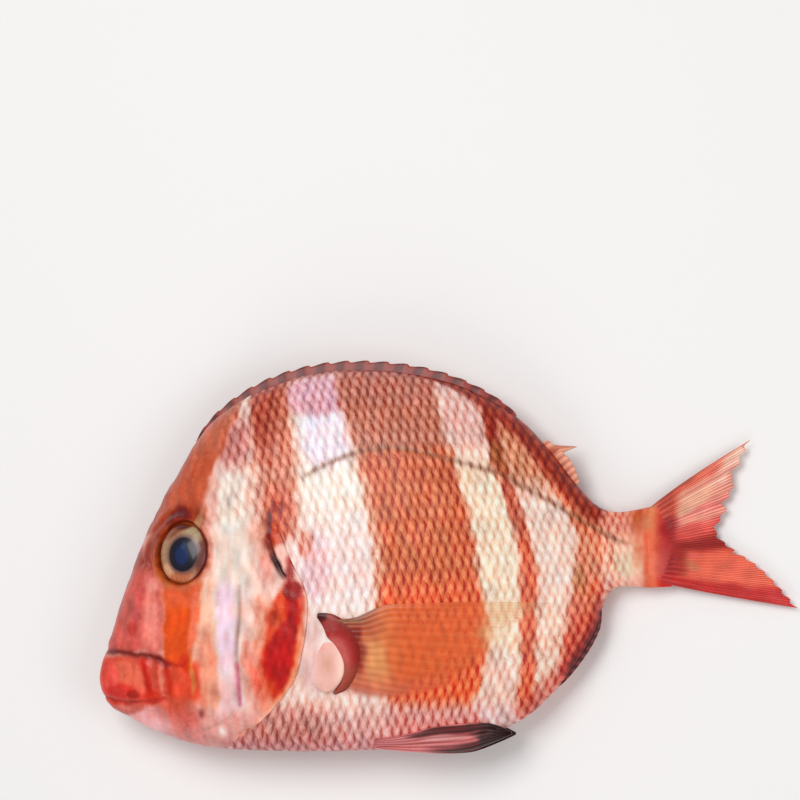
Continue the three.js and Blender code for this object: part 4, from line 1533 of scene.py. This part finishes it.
@dataclass(frozen=True)
class TailFin:
    """The forked tail fin, with branching rays that fan out to a toothed edge."""

    rays: int = 17
    root: Points = ((225, 63.4), (225, 40.4))
    rear: Points = (
        (272, 95.6), (269, 89.5), (266.2, 82), (264.4, 74.5), (261.8, 67), (257.6, 59.4), (260.6, 54.4), (267.4, 49.4),
        (275.5, 43.4), (283, 35.8), (290.5, 27),
    )
    bulge: tuple[float, float] = (9.0, 3.4)
    tooth: float = 1.3
    thickness: tuple[float, float] = (4.6, 0.9)

    def build(self) -> bpy.types.Object:
        """Root and rear edge joined by v; leading rays bow outwards; thickness thins as v^0.6.

        Returns:
            The object.
        """
        u, v = fin_grid(150, 240)
        root, rear = np.array(self.root, float), Curve2(tuple(self.rear)).at(u)
        ray = on_ray(u, self.rays)
        notches = bell(u, 0.17, 0.018) + bell(u, 0.31, 0.02) + 0.6 * bell(u, 0.62, 0.02)
        rear[..., 0] += self.tooth * (ray - 0.5) - 2.4 * notches
        start = root[0] + (root[1] - root[0]) * u[..., None]
        plan = start + (rear - start) * v[..., None]
        bow = np.where(u < 0.5, self.bulge[0], -self.bulge[1]) * (2 * np.abs(0.5 - u)) ** 2
        plan[..., 1] += bow * v * (1 - v) * (1 - 0.5 * v)
        split, fine = ramp(v, 0.3, 0.5), ramp(v, 0.62, 0.85)
        ridge = ray * (1 - split) + on_ray(u, 2 * self.rays) * split * (1 - fine) + on_ray(u, 4 * self.rays) * fine
        high, low = self.thickness
        half = (high + (low - high) * v**0.6) / 2 * blunt(u, v) + 0.42 * (ridge - 0.3) * (1 - 0.6 * v) * blunt(u, v)
        z = FORM.middle_height(plan[..., 0]) + 0.7 * v * np.sin(7 * u + 0.6)
        top = np.concatenate([plan, (z + half)[..., None]], -1)
        bottom = np.concatenate([plan, (z - half)[..., None]], -1)
        light, dark = self.paint(u, v, plan[..., 0], plan[..., 1], ridge)
        return Fin("tail_fin", u, v, top, bottom, light, dark, np.ones_like(u), self.rays * 4, 26).build()

    def paint(self, u: Array, v: Array, x: Array, y: Array, ridge: Array) -> tuple[Array, Array]:
        """Peach upper lobe, dark red fork, orange lower lobe with a red edge; darker between rays.

        Args:
            u, v: places across and along the fin.
            x, y: plan points, in mm.
            ridge: 1 on a ray and 0 between rays.

        Returns:
            The light and the dark display colours.
        """
        su, sv = u + 0.02 * wobble(x, y, 9, 62), v + 0.05 * wobble(x, y, 8, 63)
        paint = Paint.plain(u, (240, 104, 76))
        paint.lay(window(su, 0.05, 0.42, 0.05) * ramp(sv, 0.28, 0.42), (244, 158, 138))
        paint.lay(blob(su, sv, (0.2, 0.55), (0.12, 0.26)) * 0.85, (244, 184, 154))
        paint.lay(blob(su, sv, (0.1, 0.9), (0.1, 0.14)) * 0.85, (255, 206, 186))
        paint.lay(bell(su, 0.3, 0.02) * ramp(sv, 0.4, 0.6) * 0.7, (238, 116, 112))
        paint.lay(bell(su, 0.14, 0.02) * ramp(sv, 0.35, 0.6) * 0.7, (240, 132, 122))
        paint.lay(window(su, 0.38, 0.5, 0.03) * ramp(sv, 0.4, 0.6) * 0.8, (236, 92, 84))
        paint.lay((1 - ramp(su, 0.02, 0.06)) * (1 - ramp(sv, 0.5, 0.8)), (190, 78, 50))
        paint.lay(bell(su, 0.075, 0.03) * window(sv, 0.35, 0.8, 0.1) * 0.8, (238, 102, 76))
        paint.lay(ramp(su, 0.56, 0.66) * ramp(sv, 0.3, 0.5), (246, 112, 84))
        paint.lay(blob(su, sv, (0.72, 0.42), (0.07, 0.12)) * 0.8, (216, 128, 94))
        paint.lay(blob(su, sv, (0.62, 0.5), (0.05, 0.14)) * 0.7, (236, 110, 102))
        paint.lay(ramp(su, 0.85, 0.93), (204, 32, 26))
        paint.lay(ramp(su, 0.85, 0.93) * ramp(sv, 0.75, 0.95) * 0.6, (220, 60, 62))
        paint.lay(bell(su, 0.53, 0.055) * ramp(sv, 0.2, 0.5), (160, 16, 8))
        paint.lay(window(x, 230, 246, 2.5) * ramp(su, 0.5, 0.6) * (1 - ramp(su, 0.8, 0.9)) * 0.9, (178, 40, 22))
        rear = Paint(paint.colour.copy())
        PIGMENT.rear_end(rear, x, y)
        paint.lay(1 - ramp(x + wobble(x, y, 8, 64), 240.5, 245.5), rear.colour)
        light = paint.colour * (1 + 0.06 * wobble(x, y, 9, 61)[..., None])
        light = np.clip(light + (ridge[..., None] - 0.4) * 30, 0, 255)
        return light, 255 * (light / 255) ** 1.5 * 0.9


@dataclass(frozen=True)
class PectoralFin:
    """The long clear pectoral fin, laid back along the upper flank."""

    rays: int = 15
    root: Points = ((108, 22.8), (113.5, 20.8), (118, 14), (118.6, 6), (116, -1.5), (110.5, -7))
    rear: Points = ((199, 28.2), (190, 23.4), (178, 17.4), (168, 5), (152, -5), (132, -9.4))
    proud: tuple[float, float] = (1.3, 0.5)

    def build(self) -> bpy.types.Object:
        """Root and rear edge joined by v, standing proud of the skin with a ridge on each ray.

        Returns:
            The object.
        """
        u, v = fin_grid(170, 200)
        start, rear = Curve2(tuple(self.root)).at(u), Curve2(tuple(self.rear)).at(u)
        split = ramp(v, 0.4, 0.65)
        ray = on_ray(u, self.rays) * (1 - split) + on_ray(u, 2 * self.rays) * split
        rear[..., 0] += 1.4 * (on_ray(u, self.rays) - 0.5)
        plan = start + (rear - start) * v[..., None]
        plan[..., 1] += 5.6 * ramp(v, 0.08, 0.27) * np.sqrt(1 - v) * (1 - u) ** 2 - 1.6 * np.sin(math.pi * v) * u
        skin = FORM.over(plan[..., 0], plan[..., 1], Side.UPPER)
        stand = self.proud[0] + (self.proud[1] - self.proud[0]) * v + 0.08 * (ray - 0.4) * (1 - 0.5 * v)
        stand += 0.3 * np.sin(9 * u + 5 * v) * v
        top, bottom = skin.copy(), skin.copy()
        edge = blunt(u, v)
        top[..., 2] += stand * (0.35 + 0.65 * edge)
        bottom[..., 2] += stand * 0.35 - 0.2
        light, dark, cover = self.paint(u, v, ray, plan)
        return Fin("pectoral_fin", u, v, top, bottom, light, dark, cover, self.rays, 34).build()

    def paint(self, u: Array, v: Array, ray: Array, plan: Array) -> tuple[Array, Array, Array]:
        """Gold beyond the root, orange further on, olive along the upper edge; clearer between the rays.

        Args:
            u, v: places across and along the fin.
            ray: 1 on a ray and 0 between rays.
            plan: the fin's points on the plan.

        Returns:
            The light and the dark display colours, and the cover.
        """
        x, y = plan[..., 0], plan[..., 1]
        loose = x + 1.5 * wobble(x, y, 10, 71)
        paint = Paint.plain(u, (246, 118, 58))
        paint.lay(1 - ramp(loose, 119, 139), (234, 144, 88))
        paint.lay(window(loose, 121, 130, 3) * window(y, -6, 14, 4) * 0.7, (236, 164, 102))
        paint.lay((1 - ramp(loose, 122, 132)) * ramp(y, 12, 18), (192, 90, 50))
        paint.lay((1 - ramp(loose, 118, 126)) * ramp(y, 19.5, 23), (150, 96, 62))
        paint.lay((1 - ramp(loose, 119, 125)) * (1 - ramp(y, 12, 18)) * 0.7, (204, 104, 74))
        paint.lay((1 - ramp(loose, 118, 122)) * window(y, 2, 20, 3) * 0.9, (138, 26, 12))
        paint.lay(ramp(loose, 164, 172), (248, 190, 128))
        paint.lay(ramp(loose, 182, 190) * 0.6, (206, 156, 116))
        paint.lay((1 - ramp(y, -6, 4)) * 0.6, (226, 110, 80))
        paint.lay((1 - ramp(u, 0, 0.05)) * (1 - ramp(x, 118, 134)) * 0.8, (150, 84, 50))
        light = np.clip(paint.colour * (1 + 0.06 * wobble(2 * x, y, 8, 72)[..., None]), 0, 255)
        solid = 0.42 + 0.08 * ray + 0.42 * (1 - ramp(loose, 122, 140)) - 0.14 * ramp(loose, 160, 176)
        cover = solid * ramp(1 - v, 0, 0.16) * ramp(1 - u, 0, 0.22)
        return light, 255 * (light / 255) ** 1.1 * 0.98, np.clip(cover, 0.03, 1)


@dataclass(frozen=True)
class PectoralFold:
    """The crimson fleshy fold between the lobe and the blade of the pectoral fin."""

    outer: Points = (
        (102, 25.6), (107.6, 25.2), (113, 22.4), (117.6, 18.4), (120.2, 13), (120.4, 7), (119, 1.6),
        (116, -2.4), (111.6, -5.8), (107.4, -7.4),
    )
    inner: Points = (
        (101.6, 23.6), (104, 19.6), (105.6, 15.6), (108.4, 12.8), (110.6, 8.8), (111.6, 4.4), (111.2, 0.4),
        (109.8, -2.4), (108, -4.8), (106.6, -6.6),
    )
    height: float = 1.1

    def build(self) -> bpy.types.Object:
        """Rings from the outer line over the top to the inner line and back, highest near the outer line.

        Returns:
            The object.
        """
        u, angle = np.meshgrid(np.linspace(0, 1, 110), np.linspace(0, 2 * math.pi, 48, endpoint=False), indexing="ij")
        outer, inner = Curve2(tuple(self.outer)).at(u), Curve2(tuple(self.inner)).at(u)
        side = (0.5 + 0.5 * np.cos(angle))[..., None]
        plan = inner + (outer - inner) * side
        swell = np.sin(math.pi * u) ** 0.8
        points = FORM.over(plan[..., 0], plan[..., 1], Side.UPPER)
        points[..., 2] += (0.9 + self.height * swell * side[..., 0] ** 1.5) * np.maximum(np.sin(angle), 0) ** 0.8
        points[..., 2] -= 0.7 * np.maximum(-np.sin(angle), 0)
        x, y = plan[..., 0], plan[..., 1]
        paint = Paint.plain(u, (164, 36, 34))
        paint.lay(ramp(side[..., 0], 0.5, 0.85), (132, 22, 10))
        paint.lay((1 - ramp(side[..., 0], 0.2, 0.62)) * (1 - ramp(y, 14, 18)) * 0.9, (200, 96, 90))
        paint.lay((1 - ramp(y, 0, 8)) * 0.8, (158, 72, 54))
        paint.lay((1 - ramp(y, 0, 8)) * ramp(side[..., 0], 0.5, 0.85) * 0.8, (134, 44, 24))
        paint.lay(window(x, 104, 110, 2) * ramp(y, 16, 19) * 0.8, (160, 68, 66))
        paint.lay(1 - ramp(np.hypot(x - 103.4, y - 24.4), 1.4, 3.4), (74, 10, 2))
        light = linear(paint.colour)
        values = {"scaled": np.zeros_like(u)}
        colours = {"pigment": light, "shade": light**1.3}
        return Tube("pectoral_fold", points, Cap.FAN, Cap.FAN, np.zeros((*u.shape, 2)), colours, values).build()


@dataclass(frozen=True)
class PectoralLobe:
    """The fleshy lobe that the pectoral fin grows from, smooth and pale."""

    at: tuple[float, float] = (104.2, 6.4)
    radii: tuple[float, float, float] = (8.4, 12.8, 2.5)

    def build(self) -> bpy.types.Object:
        """An ellipsoid sunk 1 mm into the skin, and 1.4 mm deeper towards the head, where it fades out.

        Returns:
            The object.
        """
        angle, polar = np.meshgrid(np.linspace(0, 2 * math.pi, 96, endpoint=False), np.linspace(0, math.pi, 50)[1:-1])
        skin = FORM.over(np.array([self.at[0]]), np.array([self.at[1]]), Side.UPPER)[0]
        unit = np.stack([np.sin(polar) * np.cos(angle), np.sin(polar) * np.sin(angle), np.cos(polar)], -1)
        points = skin + unit * np.array(self.radii) - (0, 0, 1.0)
        points[..., 2] -= 1.4 * ramp(-unit[..., 0], -0.1, 0.9)
        paint = Paint.plain(angle, (246, 190, 180))
        paint.lay(ramp(-unit[..., 0], 0.2, 0.9) * 0.9, (246, 208, 204))
        # Painted shade: a darker centre and top; painted highlight: the bright rim on the tail's side; painted shade:
        # the darker lower side.
        paint.lay(bell(ellipse(unit[..., 0], unit[..., 1], (0.15, -0.05), (0.45, 0.6)), 0, 0.8) * 0.8, (214, 156, 134))
        paint.lay(blob(unit[..., 0], unit[..., 1], (0.0, 0.55), (0.5, 0.3)) * 0.6, (238, 166, 154))
        paint.lay(bell(unit[..., 0], 0.8, 0.2) * 0.8, (255, 218, 198))
        paint.lay(ramp(-unit[..., 1], 0.5, 0.95) * 0.6, (230, 176, 156))
        light = linear(paint.colour)
        uv = np.zeros((*angle.shape, 2))
        colours = {"pigment": light, "shade": light**1.3}
        values = {"scaled": np.zeros_like(angle)}
        return Tube("pectoral_lobe", points, Cap.FAN, Cap.FAN, uv, colours, values).build()


@dataclass(frozen=True)
class EdgeFin:
    """A fin folded down on the back or the belly: a low strip in the middle plane with ray tips."""

    name: str
    line: Curve2
    left: bool
    span: tuple[float, float]
    height: float
    rays: int
    colour: Colour
    notch: float = 0.2
    sunk: float = 4.0
    thickness: tuple[float, float] = (2.6, 0.9)

    def build(self) -> bpy.types.Object:
        """v goes from 4 mm inside the outline to height sin(pi u)^0.45 outside it, notched behind each ray.

        Returns:
            The object.
        """
        u, v = fin_grid(26, self.rays * 16)
        s = self.span[0] + (self.span[1] - self.span[0]) * u
        ray = on_ray(u, self.rays)
        saw = np.mod(self.rays * u, 1)
        rise = np.sin(math.pi * np.clip(u, 0.002, 0.998)) ** 0.45
        rise *= 1 - self.notch + self.notch * ramp(saw, 0, 0.75) * (1 - ramp(saw, 0.86, 1))
        out = self.line.outward(s, self.left)
        along = self.line.outward(s, False) @ np.array([[0, 1], [-1, 0]])
        plan = self.line.at(s) + out * (v * (self.sunk + self.height * rise) - self.sunk)[..., None]
        plan += along * (1.6 * v * rise)[..., None]
        high, low = self.thickness
        half = (high + (low - high) * v) / 2 * blunt(u, v) * (0.86 + 0.2 * ray)
        z = FORM.middle_height(plan[..., 0])
        top = np.concatenate([plan, (z + half)[..., None]], -1)
        bottom = np.concatenate([plan, (z - half)[..., None]], -1)
        paint = Paint.plain(u, self.colour)
        paint.lay(ramp(v, 0.8, 1) * ray * 0.25, 1.35 * np.array(self.colour))
        light = paint.colour
        dark = 255 * (light / 255) ** 1.6 * 0.8
        return Fin(self.name, u, v, top, bottom, light, dark, np.ones_like(u), self.rays, 8).build()


@dataclass(frozen=True)
class DorsalEnd:
    """The soft rear end of the dorsal fin: a low pale membrane with one spine that stands off the back."""

    front: tuple[float, float] = (188, 96)
    rear: tuple[float, float] = (202, 78.6)
    top: Points = ((190, 97), (196, 92), (200.5, 86.5), (203, 79.5))
    spine: tuple[float, float, float] = (8.5, 0.22, 0.035)

    def build(self) -> bpy.types.Object:
        """A flat sheet from the sunk root line to the line top, drawn out by 8.5 exp(-((u - 0.22) / 0.035)^2).

        Returns:
            The object.
        """
        u, v = fin_grid(60, 160)
        front, rear = np.array(self.front, float), np.array(self.rear, float)
        root = front + (rear - front) * u[..., None] - 4.0
        reach, place, width = self.spine
        top = Curve2(tuple(self.top)).at(u)
        top[..., 0] += reach * bell(u, place, width) + 0.5 * (on_ray(u, 8) - 0.5)
        plan = root + (top - root) * v[..., None]
        half = 0.6 * blunt(u, v) * (0.8 + 0.3 * on_ray(u, 8)) * (1 - 0.5 * v)
        z = FORM.middle_height(plan[..., 0]) + 0.8 * v
        upper = np.concatenate([plan, (z + half)[..., None]], -1)
        lower = np.concatenate([plan, (z - half)[..., None]], -1)
        paint = Paint.plain(u, (206, 110, 80)).lay(ramp(v, 0.5, 0.95) * 0.85, (244, 172, 140))
        paint.lay(bell(u, place, 2 * width) * ramp(v, 0.7, 1) * 0.6, (214, 150, 130))
        light, cover = paint.colour, np.ones_like(u)
        return Fin("dorsal_end", u, v, upper, lower, light, 255 * (light / 255) ** 1.5 * 0.9, cover, 8, 12).build()


@dataclass(frozen=True)
class PelvicFin:
    """One of the pelvic fins, folded back along the belly."""

    side: Side
    upper: Points = ((122, -25.5), (134, -23.6), (146, -20.6), (158, -19.2), (168, -19), (176, -22.4))
    lower: Points = ((119, -28.8), (132, -30.2), (146, -31), (158, -30.4), (168, -27), (176, -23.4))
    proud: float = 1.25
    rays: int = 6

    def build(self) -> bpy.types.Object:
        """u goes from the upper to the lower edge line, and v from the root to the tip.

        Returns:
            The object.
        """
        u, v = fin_grid(110, 90)
        high, low = Curve2(tuple(self.upper)).at(v), Curve2(tuple(self.lower)).at(v)
        plan = high + (low - high) * u[..., None]
        ray = on_ray(u, self.rays)
        skin = FORM.over(plan[..., 0], plan[..., 1], self.side)
        stand = (self.proud * (1 - 0.3 * v) + 0.3 * (ray - 0.3)) * (0.3 + 0.7 * blunt(u, v))
        top, bottom = skin.copy(), skin.copy()
        top[..., 2] += self.side.value * stand
        bottom[..., 2] -= self.side.value * 0.6
        x, y = plan[..., 0], plan[..., 1]
        loose = u + 0.06 * wobble(x, 2 * y, 12, 81)
        paint = Paint.plain(u, (222, 130, 130))
        paint.lay(blob(x, loose, (150, 0.45), (9, 0.16)) * 0.8, (238, 170, 166))
        # Painted shade: a dark strip below the pink upper edge, in the slit between fin and belly, and dark maroon
        # shade over the fin's lower part.
        paint.lay(window(loose, 0.06, 0.3, 0.08) * ramp(x, 132, 140), (104, 18, 18))
        paint.lay(ramp(loose, 0.62, 0.85) * ramp(x, 138, 154), (84, 10, 14))
        paint.lay(ramp(x + 3 * wobble(x, y, 7, 82), 160, 167), (58, 24, 24))
        paint.lay(blob(x, loose, (165, 0.45), (4, 0.2)) * 0.5, (104, 66, 60))
        light = paint.colour
        name = f"pelvic_fin_{self.side.name.lower()}"
        dark = 255 * (light / 255) ** 1.6 * 0.85
        return Fin(name, u, v, top, bottom, light, dark, np.ones_like(u), self.rays, 24).build()


# The eyes


@dataclass(frozen=True)
class Eye:
    """An eyeball set on the skin's facing: dark blue pupil, tan ring and brown rim."""

    node: str
    side: Side
    at: tuple[float, float] = (41.5, 51.4)
    radii: tuple[float, float, float] = (12.6, 13.6, 6.4)
    sink: float = 3.7
    pupil: tuple[float, float] = (0.5, 0.5)
    gaze: tuple[float, float] = (0.15, -0.07)

    def build(self) -> bpy.types.Object:
        """An ellipsoid of polar rings, turned by the least turn from z to the facing.

        Returns:
            The object.
        """
        polar, angle = np.meshgrid(
            np.linspace(0, math.pi, 150)[1:-1], np.linspace(0, 2 * math.pi, 160, endpoint=False), indexing="ij"
        )
        unit = np.stack([np.sin(polar) * np.cos(angle), np.sin(polar) * np.sin(angle), np.cos(polar)], -1)
        facing = FORM.facing(*self.at, self.side)
        turn = np.array(Vector((0, 0, 1)).rotation_difference(Vector(facing)).to_matrix())
        centre = FORM.over(np.array([self.at[0]]), np.array([self.at[1]]), self.side)[0] - self.sink * facing
        points = centre + (unit * np.array(self.radii)) @ turn.T
        colours = {"pigment": self.paint(np.where(unit[..., 2:] > 0, unit, 2 * unit))}
        return Tube(self.node.replace("eye", "eyeball"), points, Cap.FAN, Cap.FAN, None, colours).build()

    def paint(self, unit: Array) -> Array:
        """Colour by place round the gaze's axis: oval pupil, soft dark edge, tan ring, brown outer ring, with painted
        shade from the brow over the top and a painted blue reflection in the pupil.

        Args:
            unit: points on the unit sphere, with z the eye's axis.

        Returns:
            Linear colours.
        """
        x, y = unit[..., 0], unit[..., 1]
        radius, angle = np.hypot(x, y), np.arctan2(y, x)
        inner = np.hypot((x - self.gaze[0]) / self.pupil[0], (y - self.gaze[1]) / self.pupil[1])
        paint = Paint.plain(radius, (178, 130, 96))
        paint.lay(blob(x, y, (0.5, 0.45), (0.4, 0.5)) * 0.9, (190, 170, 132))
        paint.lay(blob(x, y, (-0.6, -0.1), (0.25, 0.5)) * 0.8, (178, 132, 92))
        paint.lay(blob(x, y, (-0.5, -0.6), (0.3, 0.25), -45) * 0.85, (246, 186, 144))
        paint.lay(blob(x, y, (0.05, -0.75), (0.5, 0.16)) * 0.8, (214, 116, 72))
        paint.lay(blob(x, y, (0.82, -0.2), (0.24, 0.6)) * 0.85, (110, 56, 54))
        # Painted shade from the brow over the top of the eye.
        paint.lay(blob(x, y, (-0.35, 0.78), (0.5, 0.28), 30) * 0.85, (140, 60, 30))
        paint.lay(blob(x, y, (0.0, 0.9), (0.4, 0.2)) * 0.9, (84, 18, 10))
        paint.lay((0.5 + 0.5 * np.sin(angle * 34 + 3 * np.sin(angle * 5))) * 0.14, (104, 60, 38))
        paint.lay(ramp(radius + 0.02 * np.sin(angle * 6), 0.84, 0.95), (168, 76, 36))
        paint.lay(ramp(radius, 0.84, 0.95) * ramp(x, 0.3, 0.7), (96, 34, 34))
        paint.lay((1 - ramp(inner, 1.0, 1.4)) * 0.7, (92, 58, 64))
        pupil = 1 - ramp(inner, 0.96, 1.1)
        paint.lay(pupil, (16, 14, 34))
        # Painted reflection: a blue sheen and a paler cloud in the pupil.
        paint.lay(pupil * blob(x, y, (0.14, -0.1), (0.26, 0.32)) * 0.75, (8, 52, 104))
        paint.lay(pupil * blob(x, y, (0.2, 0.2), (0.1, 0.14)) * 0.4, (70, 96, 130))
        return np.maximum(linear(paint.colour) - 0.008, 0.001)


# The set and the run


@dataclass(frozen=True)
class Stage:
    """A pale floor under soft lights."""

    floor: Colour = (240, 238, 237)
    sky: float = 0.36

    def build(self) -> None:
        """Lay the floor and hang the lights."""
        size = 3.0
        mesh = bpy.data.meshes.new("floor")
        mesh.from_pydata([(-size, -size, 0), (size, -size, 0), (size, size, 0), (-size, size, 0)], [], [(0, 1, 2, 3)])
        floor = bpy.data.objects.new("floor", mesh)
        bpy.context.scene.collection.objects.link(floor)
        graph = Graph("floor_paint")
        floor.data.materials.append(graph.finish(Base_Color=(*linear(self.floor), 1), Roughness=0.6))
        self.lamp("key", (-0.3, 0.45, 1.25), 0.8, 10)
        self.lamp("side", (0.8, -0.2, 0.9), 0.6, 3.2)
        self.lamp("low", (-0.2, -0.9, 0.6), 0.5, 1.8)
        world = bpy.data.worlds.new("sky")
        world.use_nodes = True
        backdrop = world.node_tree.nodes["Background"]
        backdrop.inputs["Color"].default_value = (1, 1, 1, 1)
        backdrop.inputs["Strength"].default_value = self.sky
        bpy.context.scene.world = world

    def lamp(self, name: str, place: tuple[float, float, float], size: float, power: float) -> None:
        """A square soft light aimed at the fish.

        Args:
            name: the lamp's name.
            place: where it hangs, in m.
            size: the side of its square, in m.
            power: its power, in watts.
        """
        light = bpy.data.lights.new(name, "AREA")
        light.size, light.energy = size, power
        lamp = bpy.data.objects.new(name, light)
        bpy.context.scene.collection.objects.link(lamp)
        aim = Vector(place).to_track_quat("Z", "Y")
        lamp.matrix_world = Matrix.Translation(place) @ aim.to_matrix().to_4x4()


@dataclass(frozen=True)
class PhotoCamera:
    """The photograph's view, 1.5 m above the flank: turned 16 degrees to the tail and 6 to the belly."""

    yaw: float = 16.0
    pitch: float = 6.0
    aim: tuple[float, float, float] = (145.0, 50.0, 15.0)
    aim_pixel: tuple[float, float] = (440.1, 555.6)
    pixels_per_mm: float = 2.4308
    distance: float = 1500.0

    def build(self) -> None:
        """Place the camera so that aim falls on aim_pixel of an 800 by 800 picture."""
        yaw, pitch = math.radians(self.yaw), math.radians(self.pitch)
        back = Vector((math.sin(yaw) * math.cos(pitch), -math.sin(pitch), math.cos(yaw) * math.cos(pitch)))
        right = Vector((math.cos(yaw), 0, -math.sin(yaw)))
        up = back.cross(right)
        shift = right * (PICTURE / 2 - self.aim_pixel[0]) + up * (self.aim_pixel[1] - PICTURE / 2)
        centre = Vector(self.aim) + shift / self.pixels_per_mm
        place = Vector(PLAN.world(np.array(centre + back * self.distance)))
        data = bpy.data.cameras.new("photo_camera")
        data.lens = self.pixels_per_mm * self.distance * data.sensor_width / PICTURE
        camera = bpy.data.objects.new("photo_camera", data)
        bpy.context.scene.collection.objects.link(camera)
        turn = Matrix((right, up, back)).transposed().to_4x4()
        camera.matrix_world = Matrix.Translation(place) @ turn
        bpy.context.scene.camera = camera


def dress(piece: bpy.types.Object, material: bpy.types.Material, node: str) -> None:
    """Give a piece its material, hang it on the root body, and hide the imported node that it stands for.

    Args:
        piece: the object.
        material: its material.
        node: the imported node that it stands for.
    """
    piece.data.materials.append(material)
    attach(piece, "root")
    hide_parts(node)
    log.info("%s: %d vertices, %d faces", piece.name, len(piece.data.vertices), len(piece.data.polygons))


def main() -> None:
    """Build the fish piece by piece, then the set."""
    logging.basicConfig(level=logging.INFO, format="%(name)s: %(message)s", stream=sys.stdout)
    skin = WetSkin().material()
    solid = FinMembrane("fin").material()
    clear = FinMembrane("clear_fin", 0.36, 0.2, 0.00008).material()
    gloss = EyeGloss().material()
    for part in (HeadSkin(), BodySkin(), PectoralLobe(), PectoralFold()):
        dress(part.build(), skin, "fish")
    dorsal = EdgeFin("dorsal_fin", FORM.back, True, (0.325, 0.78), 4.2, 18, (152, 60, 50))
    anal = EdgeFin("anal_fin", FORM.belly, False, (0.775, 0.905), 1.4, 10, (112, 26, 30), 0.1)
    for fin in (TailFin(), dorsal, DorsalEnd(), anal, PelvicFin(Side.UPPER), PelvicFin(Side.LOWER)):
        dress(fin.build(), solid, "fish")
    dress(PectoralFin().build(), clear, "fish")
    for eye in (Eye("eye_left", Side.UPPER), Eye("eye_right", Side.LOWER)):
        dress(eye.build(), gloss, eye.node)
    Stage().build()
    PhotoCamera().build()
    bpy.context.scene.view_settings.view_transform = "Standard"


if __name__ == "__main__":
    main()
